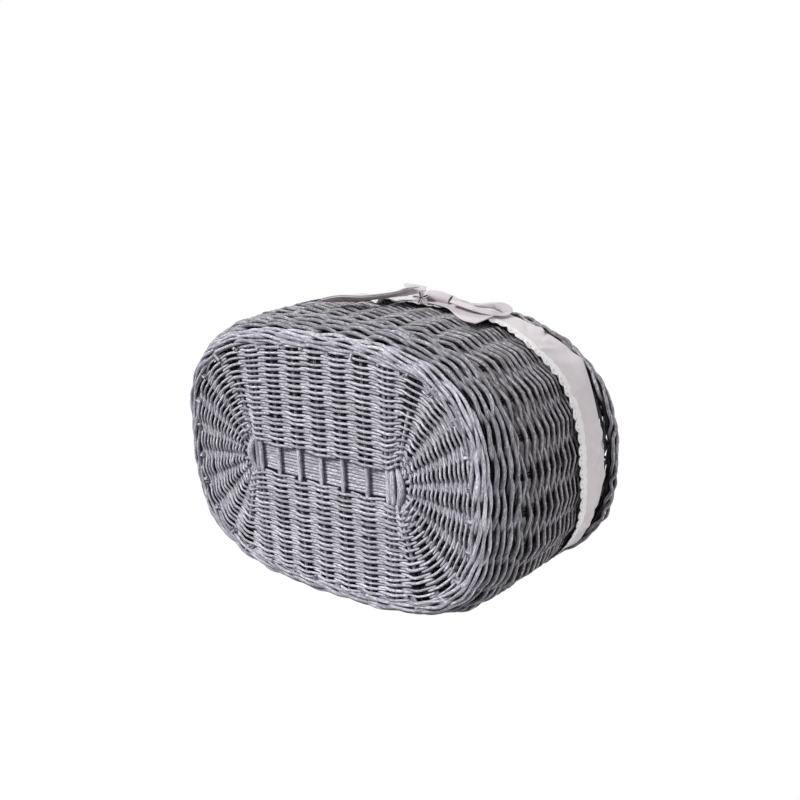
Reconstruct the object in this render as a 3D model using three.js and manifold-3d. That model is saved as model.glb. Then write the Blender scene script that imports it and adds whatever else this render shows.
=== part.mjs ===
// Oval lidded shopping basket of grey-painted willow, with an arched handle, two lids hinged on a
// bar across the middle, and a cotton liner whose cuff is turned over the rim, edged with lace and
// tied with a bow at each foot of the handle.
// Millimetres, +Z up, the base on z = 0, +X and -X towards the lidded ends, -Y the front.

import * as THREE from 'three';
import { mergeVertices } from 'three/addons/utils/BufferGeometryUtils.js';
import Module from 'manifold-3d';

const wasm = await Module();
wasm.setup();
const { lerp } = THREE.MathUtils;

// Outline of the woven body, outside of the weave
const BASE_LENGTH = 366;
const BASE_WIDTH = 262;
const BASE_SQUARENESS = 3;
const RIM_LENGTH = 440;
const RIM_WIDTH = 287;
const RIM_SQUARENESS = 2.5;
const BASKET_HEIGHT = 172;
const END_BULGE = 8.4;
const SIDE_BULGE = 7.7;
const LOW_BULGE = 5.5;

// Woven base
const BASE_LIFT = 0.8;
const BASE_SKIN = 1.6;
const CROSS_STICK_DIAMETER = 5.2;
const CROSS_STICK_PITCH = 28.4;
const SINGLE_CROSS_STICKS = 5;
const LONG_ROD_DIAMETER = 3.2;
const LONG_ROD_COUNT = 9;
const END_WRAP_DIAMETER = 5;
const END_WRAP_DEPTH = 9;
const FOOT_WIDTH = 8;
const FOOT_CHAMFER = 2;

// Woven wall
const WEAVE_THICKNESS = 3.4;
const STAKE_DIAMETER = 3.4;
const STAKE_PAIRS = 32;
const UPSETT_HEIGHT = 26;
const UPSETT_PROUD = 1.5;
const BORDER_HEIGHT = 12;
const BORDER_PROUD = 1;

// Cotton liner, its cuff and the lace along the cuff
const CLOTH_THICKNESS = 1.2;
const CUFF_HEIGHT = 42;
const CUFF_FLARE = 3;
const CUFF_NOTCH_ROOM = 6;
const LACE_HEIGHT = 7;
const LACE_THICKNESS = 0.8;

// Bow tied from the cuff's ribbons
const RIBBON_WIDTH = 20;
const RIBBON_THICKNESS = 1.2;
const BOW_SHIFT = 30;
const BOW_DEPTH_BELOW_RIM = 26;
const BOW_TURN = 8 * THREE.MathUtils.DEG2RAD;
const KNOT_LENGTH = 34;
const KNOT_WRAP_LENGTH = 20;
const KNOT_DIAMETER = 14;
const KNOT_END_DIAMETER = 10;
const LONG_LOOP_LENGTH = 76;
const LONG_LOOP_DROP = 60;
const SHORT_LOOP_LENGTH = 74;
const LOOP_FULLNESS = 10;
const LOOP_THROAT = 3.6;
const LOOP_CROWN = 0.7;
const LOOP_ROUNDNESS = 0.6;
const TAIL_TUCK = 8;
const WIDE_TAIL_START = 14;
const WIDE_TAIL_WIDTH = 36;
const WIDE_TAIL_REACH = 84;
const WIDE_TAIL_DROP = 9;
const SHORT_TAIL_WIDTH = 10;
const SHORT_TAIL_REACH = 50;
const TAIL_CUT = 6;

// Handle
const HANDLE_DIAMETER = 11;
const HANDLE_RISE = 165;
const HANDLE_TAIL = 80;
const HANDLE_TIP_DIAMETER = 3;
const HANDLE_SHOULDER = 30;
const HANDLE_INSET = 1.5;
const HANDLE_WRAP_THICKNESS = 2.4;

// Bar and lids
const STICK_DIAMETER = 9;
const BAR_WIDTH = 48;
const BAR_WEAVE_THICKNESS = 6;
const LID_END_OVERHANG = 12;
const LID_SIDE_OVERHANG = 4.5;
const LID_ROD_THICKNESS = 2.7;
const LID_ROW_PITCH = 5.6;
const LID_EDGE_GAP = 3.5;
const LID_RIB_DIAMETER = 3;
const LID_RIB_COUNT = 9;
const HINGE_LOOP_WIDTH = 12;
const HINGE_LOOP_THICKNESS = 2;
const HINGE_LOOP_SPACING = 188;
const HINGE_STICK_GAP = 1;

// Gap between pieces that touch, and the fineness of round shapes
const CLEARANCE = 0.3;
const RING_STEPS = 64;
const FINE_ARC_STEPS = 720;
const LID_ARC_STEPS = 28;
const END_WRAP_STEPS = 10;
const STRIP_END_STEPS = 8;
const LOOP_STEPS = 8;
const STAKE_SIDES = 4;
const ROD_SIDES = 6;
const STICK_SIDES = 12;
const HANDLE_SIDES = 8;
const HANDLE_STEPS = 18;

const WILLOW = { color: 0x8f8f98, roughness: 0.8, metalness: 0 };
const DARK_WILLOW = { color: 0x77757d, roughness: 0.85, metalness: 0 };
const COTTON = { color: 0xcdc7cb, roughness: 0.95, metalness: 0 };
const LACE = { color: 0xf0eef0, roughness: 0.95, metalness: 0 };

// Heights and levels that follow from the sizes above
const crossLevel = BASE_LIFT + BASE_SKIN + CROSS_STICK_DIAMETER / 2;
const longLevel = crossLevel + CROSS_STICK_DIAMETER / 2 + CLEARANCE + LONG_ROD_DIAMETER / 2;
const baseTop = longLevel + LONG_ROD_DIAMETER / 2 + BASE_SKIN;
const upsettTop = baseTop + CLEARANCE + UPSETT_HEIGHT;
const borderBottom = BASKET_HEIGHT - BORDER_HEIGHT;
const cuffTop = BASKET_HEIGHT + CLEARANCE + CLOTH_THICKNESS;
const lidLevel = cuffTop + CLEARANCE + STICK_DIAMETER / 2;

// Offsets from the outside of the wall, inwards negative
const stakeOffset = -(WEAVE_THICKNESS + CLEARANCE + STAKE_DIAMETER / 2);
const borderInside = -(WEAVE_THICKNESS + CLEARANCE + STAKE_DIAMETER + BORDER_PROUD);
const linerOutside = borderInside - CLEARANCE;
const linerInside = linerOutside - CLOTH_THICKNESS;
const cuffInside = BORDER_PROUD + CLEARANCE;

const group = new THREE.Group();

function addPiece(name, geometry, look, parent = group) {
  const mesh = new THREE.Mesh(geometry, new THREE.MeshStandardMaterial(look));
  mesh.name = name;
  parent.add(mesh);
}

// Swell of the wall over the base, full at a quarter of the way up
function lowBulge(rise) {
  const peak = 0.25 * 0.75 ** 3;
  return (LOW_BULGE * rise * (1 - rise) ** 3) / peak;
}

// Half length, half width and squareness of the wall's outside at a height
function wallAt(z) {
  const share = z / BASKET_HEIGHT;
  const belly = 4 * share * (1 - share);
  const low = lowBulge(Math.max(0, (z - baseTop) / (BASKET_HEIGHT - baseTop)));
  return {
    length: lerp(BASE_LENGTH, RIM_LENGTH, share) / 2 + belly * END_BULGE + low,
    width: lerp(BASE_WIDTH, RIM_WIDTH, share) / 2 + belly * SIDE_BULGE + low,
    squareness: lerp(BASE_SQUARENESS, RIM_SQUARENESS, share),
  };
}

// Point of a superellipse in the direction of a polar angle, with the oval grown by an offset
function ovalPoint(oval, angle, offset = 0) {
  const along = Math.abs(Math.cos(angle) / (oval.length + offset)) ** oval.squareness;
  const across = Math.abs(Math.sin(angle) / (oval.width + offset)) ** oval.squareness;
  const radius = (along + across) ** (-1 / oval.squareness);
  return new THREE.Vector2(radius * Math.cos(angle), radius * Math.sin(angle));
}

// Polar angle at which an oval grown by an offset passes a given x on its +Y side
function angleAtX(oval, x, offset = 0) {
  const length = oval.length + offset;
  const rest = 1 - (x / length) ** oval.squareness;
  return Math.atan2((oval.width + offset) * rest ** (1 / oval.squareness), x);
}

// Polar angles that part an arc of an oval into equal lengths
function evenAngles(oval, count, start, end) {
  const runs = [0];
  for (let i = 1; i <= FINE_ARC_STEPS; i += 1) {
    const here = ovalPoint(oval, lerp(start, end, i / FINE_ARC_STEPS));
    const before = ovalPoint(oval, lerp(start, end, (i - 1) / FINE_ARC_STEPS));
    runs.push(runs[i - 1] + here.distanceTo(before));
  }
  const angles = [];
  let step = 0;
  for (let i = 0; i <= count; i += 1) {
    const target = (runs[FINE_ARC_STEPS] * i) / count;
    while (step < FINE_ARC_STEPS - 1 && runs[step + 1] < target) step += 1;
    const part = (target - runs[step]) / (runs[step + 1] - runs[step]);
    angles.push(lerp(start, end, (step + part) / FINE_ARC_STEPS));
  }
  return angles;
}

const ringAngles = evenAngles(wallAt(BASKET_HEIGHT / 2), RING_STEPS, 0, 2 * Math.PI).slice(0, -1);

function signedVolume(positions, index) {
  const corners = [new THREE.Vector3(), new THREE.Vector3(), new THREE.Vector3()];
  let volume = 0;
  for (let i = 0; i < index.length; i += 3) {
    corners.forEach((corner, k) => corner.fromArray(positions, 3 * index[i + k]));
    volume += corners[0].dot(corners[1].cross(corners[2])) / 6;
  }
  return volume;
}

// Closed surface through rings of points. A loft that isn't closed on itself gets flat ends,
// triangulated on the outline of one ring.
function loft(rings, closed, endOutline) {
  const count = rings[0].length;
  const positions = rings.flat().flatMap((point) => point.toArray());
  const index = [];
  const spans = closed ? rings.length : rings.length - 1;
  for (let i = 0; i < spans; i += 1) {
    const here = i * count;
    const next = ((i + 1) % rings.length) * count;
    for (let j = 0; j < count; j += 1) {
      const k = (j + 1) % count;
      index.push(here + j, next + j, next + k, here + j, next + k, here + k);
    }
  }
  if (!closed) {
    const last = (rings.length - 1) * count;
    const clockwise = THREE.ShapeUtils.isClockWise(endOutline);
    for (const [a, b, c] of THREE.ShapeUtils.triangulateShape(endOutline, [])) {
      const [second, third] = clockwise ? [c, b] : [b, c];
      index.push(a, second, third, last + a, last + third, last + second);
    }
  }
  if (signedVolume(positions, index) < 0) index.reverse();
  const geometry = new THREE.BufferGeometry();
  geometry.setAttribute('position', new THREE.Float32BufferAttribute(positions, 3));
  geometry.setIndex(index);
  return geometry;
}

// Section of offsets and heights carried round the wall, over all angles or along an arc
function band(section, angles = ringAngles, closed = true) {
  const rings = angles.map((angle) => section.map(([offset, z]) => {
    const point = ovalPoint(wallAt(z), angle, offset);
    return new THREE.Vector3(point.x, point.y, z);
  }));
  return loft(rings, closed, section.map(([offset, z]) => new THREE.Vector2(offset, z)));
}

function levels(from, to, spans) {
  return Array.from({ length: spans + 1 }, (_, i) => lerp(from, to, i / spans));
}

// Regular polygon on the unit circle, with a flat facing down
function unitPolygon(sides) {
  return Array.from({ length: sides }, (_, i) => {
    const angle = ((i + 0.5) / sides) * 2 * Math.PI + Math.PI / 2;
    return new THREE.Vector2(Math.cos(angle), Math.sin(angle));
  });
}

// Sections square to a path, at a radius that may change along it
function tubeRings(points, radii, sides, up) {
  const section = unitPolygon(sides);
  return points.map((point, i) => {
    const ahead = points[Math.min(i + 1, points.length - 1)];
    const behind = points[Math.max(i - 1, 0)];
    const tangent = ahead.clone().sub(behind).normalize();
    const side = new THREE.Vector3().crossVectors(up, tangent).normalize();
    const normal = new THREE.Vector3().crossVectors(tangent, side);
    return section.map(({ x, y }) => point.clone()
      .addScaledVector(side, x * radii[i])
      .addScaledVector(normal, y * radii[i]));
  });
}

function rod(points, radius, sides, up) {
  const radii = Array.isArray(radius) ? radius : points.map(() => radius);
  return loft(tubeRings(points, radii, sides, up), false, unitPolygon(sides));
}

// Tube with an open bore along a path
function sleeve(points, inner, outer, sides, up) {
  const outside = tubeRings(points, points.map(() => outer), sides, up);
  const inside = tubeRings(points, points.map(() => inner), sides, up).reverse();
  return loft([...outside, ...inside], true);
}

const UP = new THREE.Vector3(0, 0, 1);
const ALONG = new THREE.Vector3(1, 0, 0);
const ACROSS = new THREE.Vector3(0, 1, 0);

// Radius of a polygon whose flats clear a round stick of the given diameter
function clearRadius(diameter, sides) {
  return (diameter / 2 + CLEARANCE) / Math.cos(Math.PI / sides);
}

// Flat outline in XY, made into a plate centred on a level
function plate(shape, thickness, level) {
  const geometry = new THREE.ExtrudeGeometry(shape, { depth: thickness, bevelEnabled: false });
  geometry.translate(0, 0, level - thickness / 2);
  return welded(geometry);
}

function welded(geometry) {
  geometry.deleteAttribute('normal');
  geometry.deleteAttribute('uv');
  return mergeVertices(geometry);
}

function solidOf(geometry) {
  return new wasm.Manifold(new wasm.Mesh({
    numProp: 3,
    vertProperties: new Float32Array(geometry.attributes.position.array),
    triVerts: new Uint32Array(geometry.index.array),
  }));
}

function geometryOf(solid) {
  const { vertProperties, triVerts } = solid.getMesh();
  const geometry = new THREE.BufferGeometry();
  geometry.setAttribute('position', new THREE.BufferAttribute(vertProperties, 3));
  geometry.setIndex(new THREE.BufferAttribute(triVerts, 1));
  return geometry;
}

function cut(geometry, tools) {
  const solid = tools.reduce((rest, tool) => rest.subtract(solidOf(tool)), solidOf(geometry));
  return geometryOf(solid);
}

function keep(geometry, outline) {
  return geometryOf(solidOf(geometry).intersect(solidOf(outline)));
}

function join(geometries) {
  return geometryOf(geometries.map(solidOf).reduce((all, next) => all.add(next)));
}

// Base: a strip of long rods whose ends fan out, cross sticks under it, and the weave round them
const plateOval = wallAt(0);
const plateOffset = -(FOOT_WIDTH + CLEARANCE);
const halfStrip = (LONG_ROD_COUNT * (LONG_ROD_DIAMETER + CLEARANCE)) / 2;
const outerCross = ((SINGLE_CROSS_STICKS + 1) / 2) * CROSS_STICK_PITCH;
const doubleGap = CROSS_STICK_DIAMETER + CLEARANCE;
const doubleEdge = outerCross + doubleGap / 2 + CROSS_STICK_DIAMETER / 2;
const wrapStart = doubleEdge + CLEARANCE + END_WRAP_DIAMETER / 4;

function crossStickPlaces() {
  const singles = levels(-outerCross, outerCross, SINGLE_CROSS_STICKS + 1).slice(1, -1);
  const doubles = [-outerCross, outerCross].flatMap((x) => [x - doubleGap / 2, x + doubleGap / 2]);
  return [...singles, ...doubles].sort((a, b) => a - b);
}

// A cross stick ends inside the edge of the weave; the room cut for it runs out through the edge
function crossStick(x, room = 0) {
  const angle = angleAtX(plateOval, Math.abs(x) + CROSS_STICK_DIAMETER / 2, plateOffset);
  const edge = ovalPoint(plateOval, angle, plateOffset).y;
  const reach = room ? edge + FOOT_WIDTH : edge - CLEARANCE;
  const ends = [-reach, reach].map((y) => new THREE.Vector3(x, y, crossLevel));
  return rod(ends, CROSS_STICK_DIAMETER / 2 + room, ROD_SIDES, UP);
}

// One long rod: straight in the strip, its two ends spread to even places on the base's ends.
// The outer rods turn first, each inner one a rod's width later, so that they stay apart.
function longRod(i, room = 0) {
  const pitch = LONG_ROD_DIAMETER + CLEARANCE;
  const fromMiddle = i - (LONG_ROD_COUNT - 1) / 2;
  const turn = wrapStart + ((LONG_ROD_COUNT - 1) / 2 - Math.abs(fromMiddle)) * pitch;
  const corner = angleAtX(plateOval, outerCross, plateOffset);
  const tip = evenAngles(plateOval, LONG_ROD_COUNT + 1, -corner, corner)[i + 1];
  const y = fromMiddle * pitch;
  const end = ovalPoint(plateOval, tip, plateOffset - CLEARANCE - LONG_ROD_DIAMETER);
  const direction = end.clone().sub(new THREE.Vector2(turn, y)).normalize();
  if (room) end.addScaledVector(direction, FOOT_WIDTH);
  const half = [[0, y], [turn, y], [end.x, end.y]];
  const route = [half[2], half[1], half[0]].map(([px, py]) => [-px, py]).concat(half.slice(1));
  const points = route.map(([px, py]) => new THREE.Vector3(px, py, longLevel));
  return rod(points, LONG_ROD_DIAMETER / 2 + room, ROD_SIDES, UP);
}

// Half ellipse round an end of the strip
function endWrapPoints(side) {
  const halfHeight = halfStrip - END_WRAP_DIAMETER / 2;
  return levels(-Math.PI / 2, Math.PI / 2, END_WRAP_STEPS).map((angle) => new THREE.Vector3(
    side * (wrapStart + END_WRAP_DEPTH * Math.cos(angle)),
    halfHeight * Math.sin(angle),
    crossLevel,
  ));
}

function baseWeave() {
  const shape = new THREE.Shape(ringAngles.map((angle) => ovalPoint(plateOval, angle, plateOffset)));
  const hole = new THREE.Path();
  const endRadius = END_WRAP_DEPTH + END_WRAP_DIAMETER / 2 + CLEARANCE;
  const halfHole = halfStrip + CLEARANCE;
  hole.absellipse(wrapStart, 0, endRadius, halfHole, -Math.PI / 2, Math.PI / 2);
  hole.absellipse(-wrapStart, 0, endRadius, halfHole, Math.PI / 2, (3 * Math.PI) / 2);
  shape.holes.push(hole);
  const body = new THREE.ExtrudeGeometry(shape, {
    depth: baseTop - BASE_LIFT, bevelEnabled: false, curveSegments: STRIP_END_STEPS,
  });
  body.translate(0, 0, BASE_LIFT);
  const crossRoom = crossStickPlaces().map((x) => crossStick(x, CLEARANCE));
  const rodIndexes = levels(0, LONG_ROD_COUNT - 1, LONG_ROD_COUNT - 1);
  const longRoom = rodIndexes.map((i) => longRod(i, CLEARANCE));
  return cut(welded(body), [...crossRoom, ...longRoom]);
}

function addBase() {
  for (let i = 0; i < LONG_ROD_COUNT; i += 1) {
    addPiece(`base_long_rod_${i + 1}`, longRod(i), WILLOW);
  }
  crossStickPlaces().forEach((x, i) => {
    addPiece(`base_cross_stick_${i + 1}`, crossStick(x), WILLOW);
  });
  for (const [name, side] of [['left', -1], ['right', 1]]) {
    const wrap = rod(endWrapPoints(side), END_WRAP_DIAMETER / 2, ROD_SIDES, UP);
    addPiece(`base_end_wrap_${name}`, wrap, WILLOW);
  }
  addPiece('base_weave', baseWeave(), WILLOW);
  addPiece('base_foot_wale', band([
    [-FOOT_WIDTH, 0], [-FOOT_CHAMFER, 0], [0, FOOT_CHAMFER], [0, baseTop], [-FOOT_WIDTH, baseTop],
  ]), WILLOW);
}

// Handle: an arch whose two tapered tails run down into the wall, wrapped above the lids
function handlePath() {
  const tipLevel = BASKET_HEIGHT - HANDLE_TAIL;
  const shoulderLevel = BASKET_HEIGHT - HANDLE_SHOULDER;
  const middleLevel = (tipLevel + shoulderLevel) / 2;
  const radius = HANDLE_DIAMETER / 2;
  const span = wallAt(BASKET_HEIGHT).width - HANDLE_INSET;
  const tail = [
    [wallAt(tipLevel).width + stakeOffset, tipLevel, HANDLE_TIP_DIAMETER / 2],
    [wallAt(middleLevel).width + stakeOffset, middleLevel, STAKE_DIAMETER / 2],
    [wallAt(shoulderLevel).width - HANDLE_INSET, shoulderLevel, radius],
    [span, BASKET_HEIGHT, radius],
  ];
  const wrapFoot = Math.asin((lidLevel + STICK_DIAMETER / 2 - BASKET_HEIGHT) / HANDLE_RISE);
  const arch = levels(wrapFoot, Math.PI - wrapFoot, HANDLE_STEPS).map((angle) => [
    -span * Math.cos(angle), BASKET_HEIGHT + HANDLE_RISE * Math.sin(angle), radius,
  ]);
  const front = tail.map(([y, z, tailRadius]) => [-y, z, tailRadius]);
  return { stations: [...front, ...arch, ...tail.slice().reverse()], arch };
}

function handleCore(room = 0) {
  const { stations } = handlePath();
  const points = stations.map(([y, z]) => new THREE.Vector3(0, y, z));
  const spread = room ? 1 / Math.cos(Math.PI / HANDLE_SIDES) : 1;
  const radii = stations.map(([, , radius]) => (radius + room) * spread);
  return rod(points, radii, HANDLE_SIDES, ALONG);
}

function addHandle() {
  addPiece('handle_core', handleCore(), WILLOW);
  const points = handlePath().arch.map(([y, z]) => new THREE.Vector3(0, y, z));
  const bore = clearRadius(HANDLE_DIAMETER, HANDLE_SIDES);
  const outside = HANDLE_DIAMETER / 2 + HANDLE_WRAP_THICKNESS;
  addPiece('handle_wrap', sleeve(points, bore, outside, HANDLE_SIDES, ALONG), WILLOW);
}

// Wall: the upsett of thick rods, the side weave, and the stakes whose tops make the border
function stakesAndBorder() {
  const middle = (borderBottom + BASKET_HEIGHT) / 2;
  const border = band([
    [borderInside + BORDER_PROUD, borderBottom], [0, borderBottom], [BORDER_PROUD, middle],
    [0, BASKET_HEIGHT], [borderInside + BORDER_PROUD, BASKET_HEIGHT], [borderInside, middle],
  ]);
  const stakeFoot = baseTop + CLEARANCE + STAKE_DIAMETER / 4;
  const stakeLevels = [stakeFoot, upsettTop, ...weaveLevels().slice(1), middle];
  const ringStep = RING_STEPS / STAKE_PAIRS;
  const stakes = ringAngles.filter((_, i) => i % ringStep === 1).map((angle) => {
    const points = stakeLevels.map((z) => {
      const point = ovalPoint(wallAt(z), angle, stakeOffset);
      return new THREE.Vector3(point.x, point.y, z);
    });
    const outward = new THREE.Vector3(Math.cos(angle), Math.sin(angle), 0);
    return rod(points, STAKE_DIAMETER / 2, STAKE_SIDES, outward);
  });
  return cut(join([border, ...stakes]), [handleCore(CLEARANCE)]);
}

function upsettLevels() {
  return levels(baseTop + CLEARANCE, upsettTop, 1);
}

function weaveLevels() {
  return levels(upsettTop + CLEARANCE, borderBottom - CLEARANCE, 3);
}

function shellSection(heights, outside, inside) {
  const outer = heights.map((z) => [outside, z]);
  const inner = heights.map((z) => [inside, z]).reverse();
  return [...outer, ...inner];
}

function addWall() {
  addPiece('upsett_wale', band(shellSection(upsettLevels(), UPSETT_PROUD, -WEAVE_THICKNESS)), WILLOW);
  const weave = band(shellSection(weaveLevels(), 0, -WEAVE_THICKNESS));
  addPiece('side_weave', cut(weave, [handleCore(CLEARANCE)]), DARK_WILLOW);
  addPiece('stakes_and_border', stakesAndBorder(), DARK_WILLOW);
}

// Liner: a bag inside the basket, and a cuff in two halves turned over the border
function linerRing(z, offset) {
  return ringAngles.map((angle) => {
    const point = ovalPoint(wallAt(z), angle, offset);
    return new THREE.Vector3(point.x, point.y, z);
  });
}

function linerBag() {
  const floor = baseTop + CLEARANCE;
  const outer = levels(floor, BASKET_HEIGHT, 3).map((z) => linerRing(z, linerOutside));
  const innerLevels = levels(BASKET_HEIGHT, floor + CLOTH_THICKNESS, 3);
  const inner = innerLevels.map((z) => linerRing(z, linerInside));
  const outline = outer[0].map(({ x, y }) => new THREE.Vector2(x, y));
  return loft([...outer, ...inner], false, outline);
}

// Angles of the right half of the rim, between the two notches for the handle's feet
function cuffAngles() {
  const notch = HANDLE_DIAMETER / 2 + CUFF_NOTCH_ROOM;
  const edge = angleAtX(wallAt(BASKET_HEIGHT), notch);
  const turned = ringAngles.map((angle) => (angle > Math.PI ? angle - 2 * Math.PI : angle));
  const margin = Math.PI / RING_STEPS / 4;
  const inside = turned.filter((angle) => Math.abs(angle) < edge - margin).sort((a, b) => a - b);
  return [-edge, ...inside, edge];
}

const hemLevel = BASKET_HEIGHT - CUFF_HEIGHT;
const hemInside = cuffInside + CUFF_FLARE;

function addLiner() {
  addPiece('liner_bag', linerBag(), COTTON);
  const middle = (hemLevel + BASKET_HEIGHT) / 2;
  const flangeBottom = cuffTop - CLOTH_THICKNESS;
  const cuff = band([
    [linerInside, flangeBottom], [linerInside, cuffTop], [cuffInside + CLOTH_THICKNESS, cuffTop],
    [cuffInside + CUFF_FLARE / 2 + CLOTH_THICKNESS, middle], [hemInside + CLOTH_THICKNESS, hemLevel],
    [hemInside, hemLevel], [cuffInside + CUFF_FLARE / 2, middle], [cuffInside, flangeBottom],
  ], cuffAngles(), false);
  const laceTop = hemLevel - CLEARANCE;
  const laceBottom = laceTop - LACE_HEIGHT;
  const lace = band([
    [hemInside, laceBottom], [hemInside + LACE_THICKNESS, laceBottom],
    [hemInside + LACE_THICKNESS, laceTop], [hemInside, laceTop],
  ], cuffAngles(), false);
  for (const [name, turn] of [['right', 0], ['left', Math.PI]]) {
    const half = new THREE.Group();
    half.rotation.z = turn;
    addPiece(`liner_cuff_${name}`, cuff, COTTON, half);
    addPiece(`cuff_lace_${name}`, lace, LACE, half);
    group.add(half);
  }
}

// Bow: a wrapped knot, a long and a short loop, and two flat tails that leave the knot
const bowLevel = BASKET_HEIGHT - BOW_DEPTH_BELOW_RIM;
const cuffSlope = CUFF_FLARE / CUFF_HEIGHT;
const bowFace = wallAt(bowLevel).width + cuffInside + cuffSlope * BOW_DEPTH_BELOW_RIM + CLOTH_THICKNESS;
const bowMiddle = -(bowFace + CLEARANCE + KNOT_DIAMETER / 2);

function knot() {
  const stations = [
    [-KNOT_LENGTH, KNOT_END_DIAMETER], [-KNOT_WRAP_LENGTH, KNOT_DIAMETER],
    [KNOT_WRAP_LENGTH, KNOT_DIAMETER], [KNOT_LENGTH, KNOT_END_DIAMETER],
  ];
  const middle = new THREE.Vector3(BOW_SHIFT, bowMiddle, bowLevel);
  const points = stations.map(([length]) => middle.clone().addScaledVector(ALONG, length / 2));
  const radii = stations.map(([, diameter]) => diameter / 2);
  return rod(points, radii, HANDLE_SIDES, UP);
}

// Drop-shaped outline of a ribbon loop that leaves the knot towards a side, seen from above
function loopOutline(length, side, start, inset) {
  const swell = (share) => Math.sin(Math.PI * share ** LOOP_CROWN) ** LOOP_ROUNDNESS;
  const half = (share) => (LOOP_FULLNESS / 2 - inset) * swell(share);
  const along = (share) => lerp(start, length - inset, share);
  const shares = levels(0, 1, LOOP_STEPS);
  const far = shares.map((share) => [along(share), half(share)]);
  const near = shares.slice(1, -1).reverse().map((share) => [along(share), -half(share)]);
  const points = [...far, ...near].map(([x, y]) => new THREE.Vector2(side * x, y));
  return side > 0 ? points.reverse() : points;
}

// Ribbon loop beside the knot, turned towards the wall and drooping by a drop over its length
function ribbonLoop(length, side, drop, turn) {
  const shape = new THREE.Shape(loopOutline(length, side, 0, 0));
  shape.holes.push(new THREE.Path(loopOutline(length, side, LOOP_THROAT, RIBBON_THICKNESS)));
  const droop = new THREE.Matrix4().makeShear(0, (-side * drop) / length, 0, 0, 0, 0);
  const start = BOW_SHIFT + side * (KNOT_LENGTH / 2 + CLEARANCE);
  const loop = plate(shape, RIBBON_WIDTH, 0).applyMatrix4(droop);
  return loop.rotateZ(turn).translate(start, bowMiddle, bowLevel);
}

// Flat ribbon that hangs below its seat (fall -1) or stands above it (fall 1), with a slanted end
function ribbonTail({ seat, startWidth, endWidth, reach, rise, side, fall, turn }) {
  const inner = fall * (seat / 2 + CLEARANCE);
  const start = -side * TAIL_TUCK;
  const end = start + side * reach;
  const tip = inner + fall * rise;
  const shape = new THREE.Shape([
    [start, inner], [end, tip],
    [end - side * TAIL_CUT, tip + fall * endWidth], [start, inner + fall * startWidth],
  ].map(([x, z]) => new THREE.Vector2(x, z)));
  const geometry = new THREE.ExtrudeGeometry(shape, { depth: RIBBON_THICKNESS, bevelEnabled: false });
  geometry.rotateX(Math.PI / 2).translate(0, RIBBON_THICKNESS / 2, 0).rotateZ(turn);
  return welded(geometry.translate(BOW_SHIFT, bowMiddle, bowLevel));
}

function addBow(name, turn) {
  const bow = new THREE.Group();
  bow.rotation.z = turn;
  const wideTail = ribbonTail({
    seat: KNOT_DIAMETER, startWidth: WIDE_TAIL_START, endWidth: WIDE_TAIL_WIDTH,
    reach: WIDE_TAIL_REACH, rise: WIDE_TAIL_DROP, side: 1, fall: -1, turn: BOW_TURN,
  });
  const shortTail = ribbonTail({
    seat: RIBBON_WIDTH, startWidth: SHORT_TAIL_WIDTH, endWidth: SHORT_TAIL_WIDTH,
    reach: SHORT_TAIL_REACH, rise: 0, side: -1, fall: 1, turn: 0,
  });
  const longLoop = ribbonLoop(LONG_LOOP_LENGTH, -1, LONG_LOOP_DROP, 0);
  const shortLoop = ribbonLoop(SHORT_LOOP_LENGTH, 1, 0, BOW_TURN);
  addPiece(`bow_${name}_knot`, knot(), COTTON, bow);
  addPiece(`bow_${name}_long_loop`, longLoop, COTTON, bow);
  addPiece(`bow_${name}_short_loop`, shortLoop, COTTON, bow);
  addPiece(`bow_${name}_wide_tail`, wideTail, COTTON, bow);
  addPiece(`bow_${name}_short_tail`, shortTail, COTTON, bow);
  group.add(bow);
}

// Bar across the rim between the handle's feet: two sticks with weave between them
const barAxis = BAR_WIDTH / 2;
const loopBore = clearRadius(STICK_DIAMETER, STICK_SIDES);
const loopOutside = loopBore + HINGE_LOOP_THICKNESS;
const rimHalfWidth = RIM_WIDTH / 2;

function straightStick(x, reach) {
  const ends = [-reach, reach].map((y) => new THREE.Vector3(x, y, lidLevel));
  return rod(ends, STICK_DIAMETER / 2, STICK_SIDES, UP);
}

// Straight edge along Y at x with a notch round each hinge loop, from the low end to the high end
function loopedEdge(x, reach, notchX) {
  const half = HINGE_LOOP_WIDTH / 2 + CLEARANCE;
  const low = -HINGE_LOOP_SPACING / 2;
  const high = HINGE_LOOP_SPACING / 2;
  const notch = (y) => [[x, y - half], [notchX, y - half], [notchX, y + half], [x, y + half]];
  return [[x, -reach], ...notch(low), ...notch(high), [x, reach]];
}

function addBar() {
  addPiece('bar_stick_left', straightStick(-barAxis, rimHalfWidth), WILLOW);
  addPiece('bar_stick_right', straightStick(barAxis, rimHalfWidth), WILLOW);
  const edge = barAxis - STICK_DIAMETER / 2 - CLEARANCE;
  const right = loopedEdge(edge, rimHalfWidth, barAxis - loopOutside - CLEARANCE);
  const footNotch = HANDLE_DIAMETER / 2 + 2 * CLEARANCE;
  const footInside = rimHalfWidth - HANDLE_INSET - footNotch;
  const end = [
    [footNotch, rimHalfWidth], [footNotch, footInside],
    [-footNotch, footInside], [-footNotch, rimHalfWidth],
  ];
  const half = [...right, ...end];
  const outline = [...half, ...half.map(([x, y]) => [-x, -y])];
  const shape = new THREE.Shape(outline.map(([x, y]) => new THREE.Vector2(x, y)));
  addPiece('bar_weave', plate(shape, BAR_WEAVE_THICKNESS, lidLevel), WILLOW);
}

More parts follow.
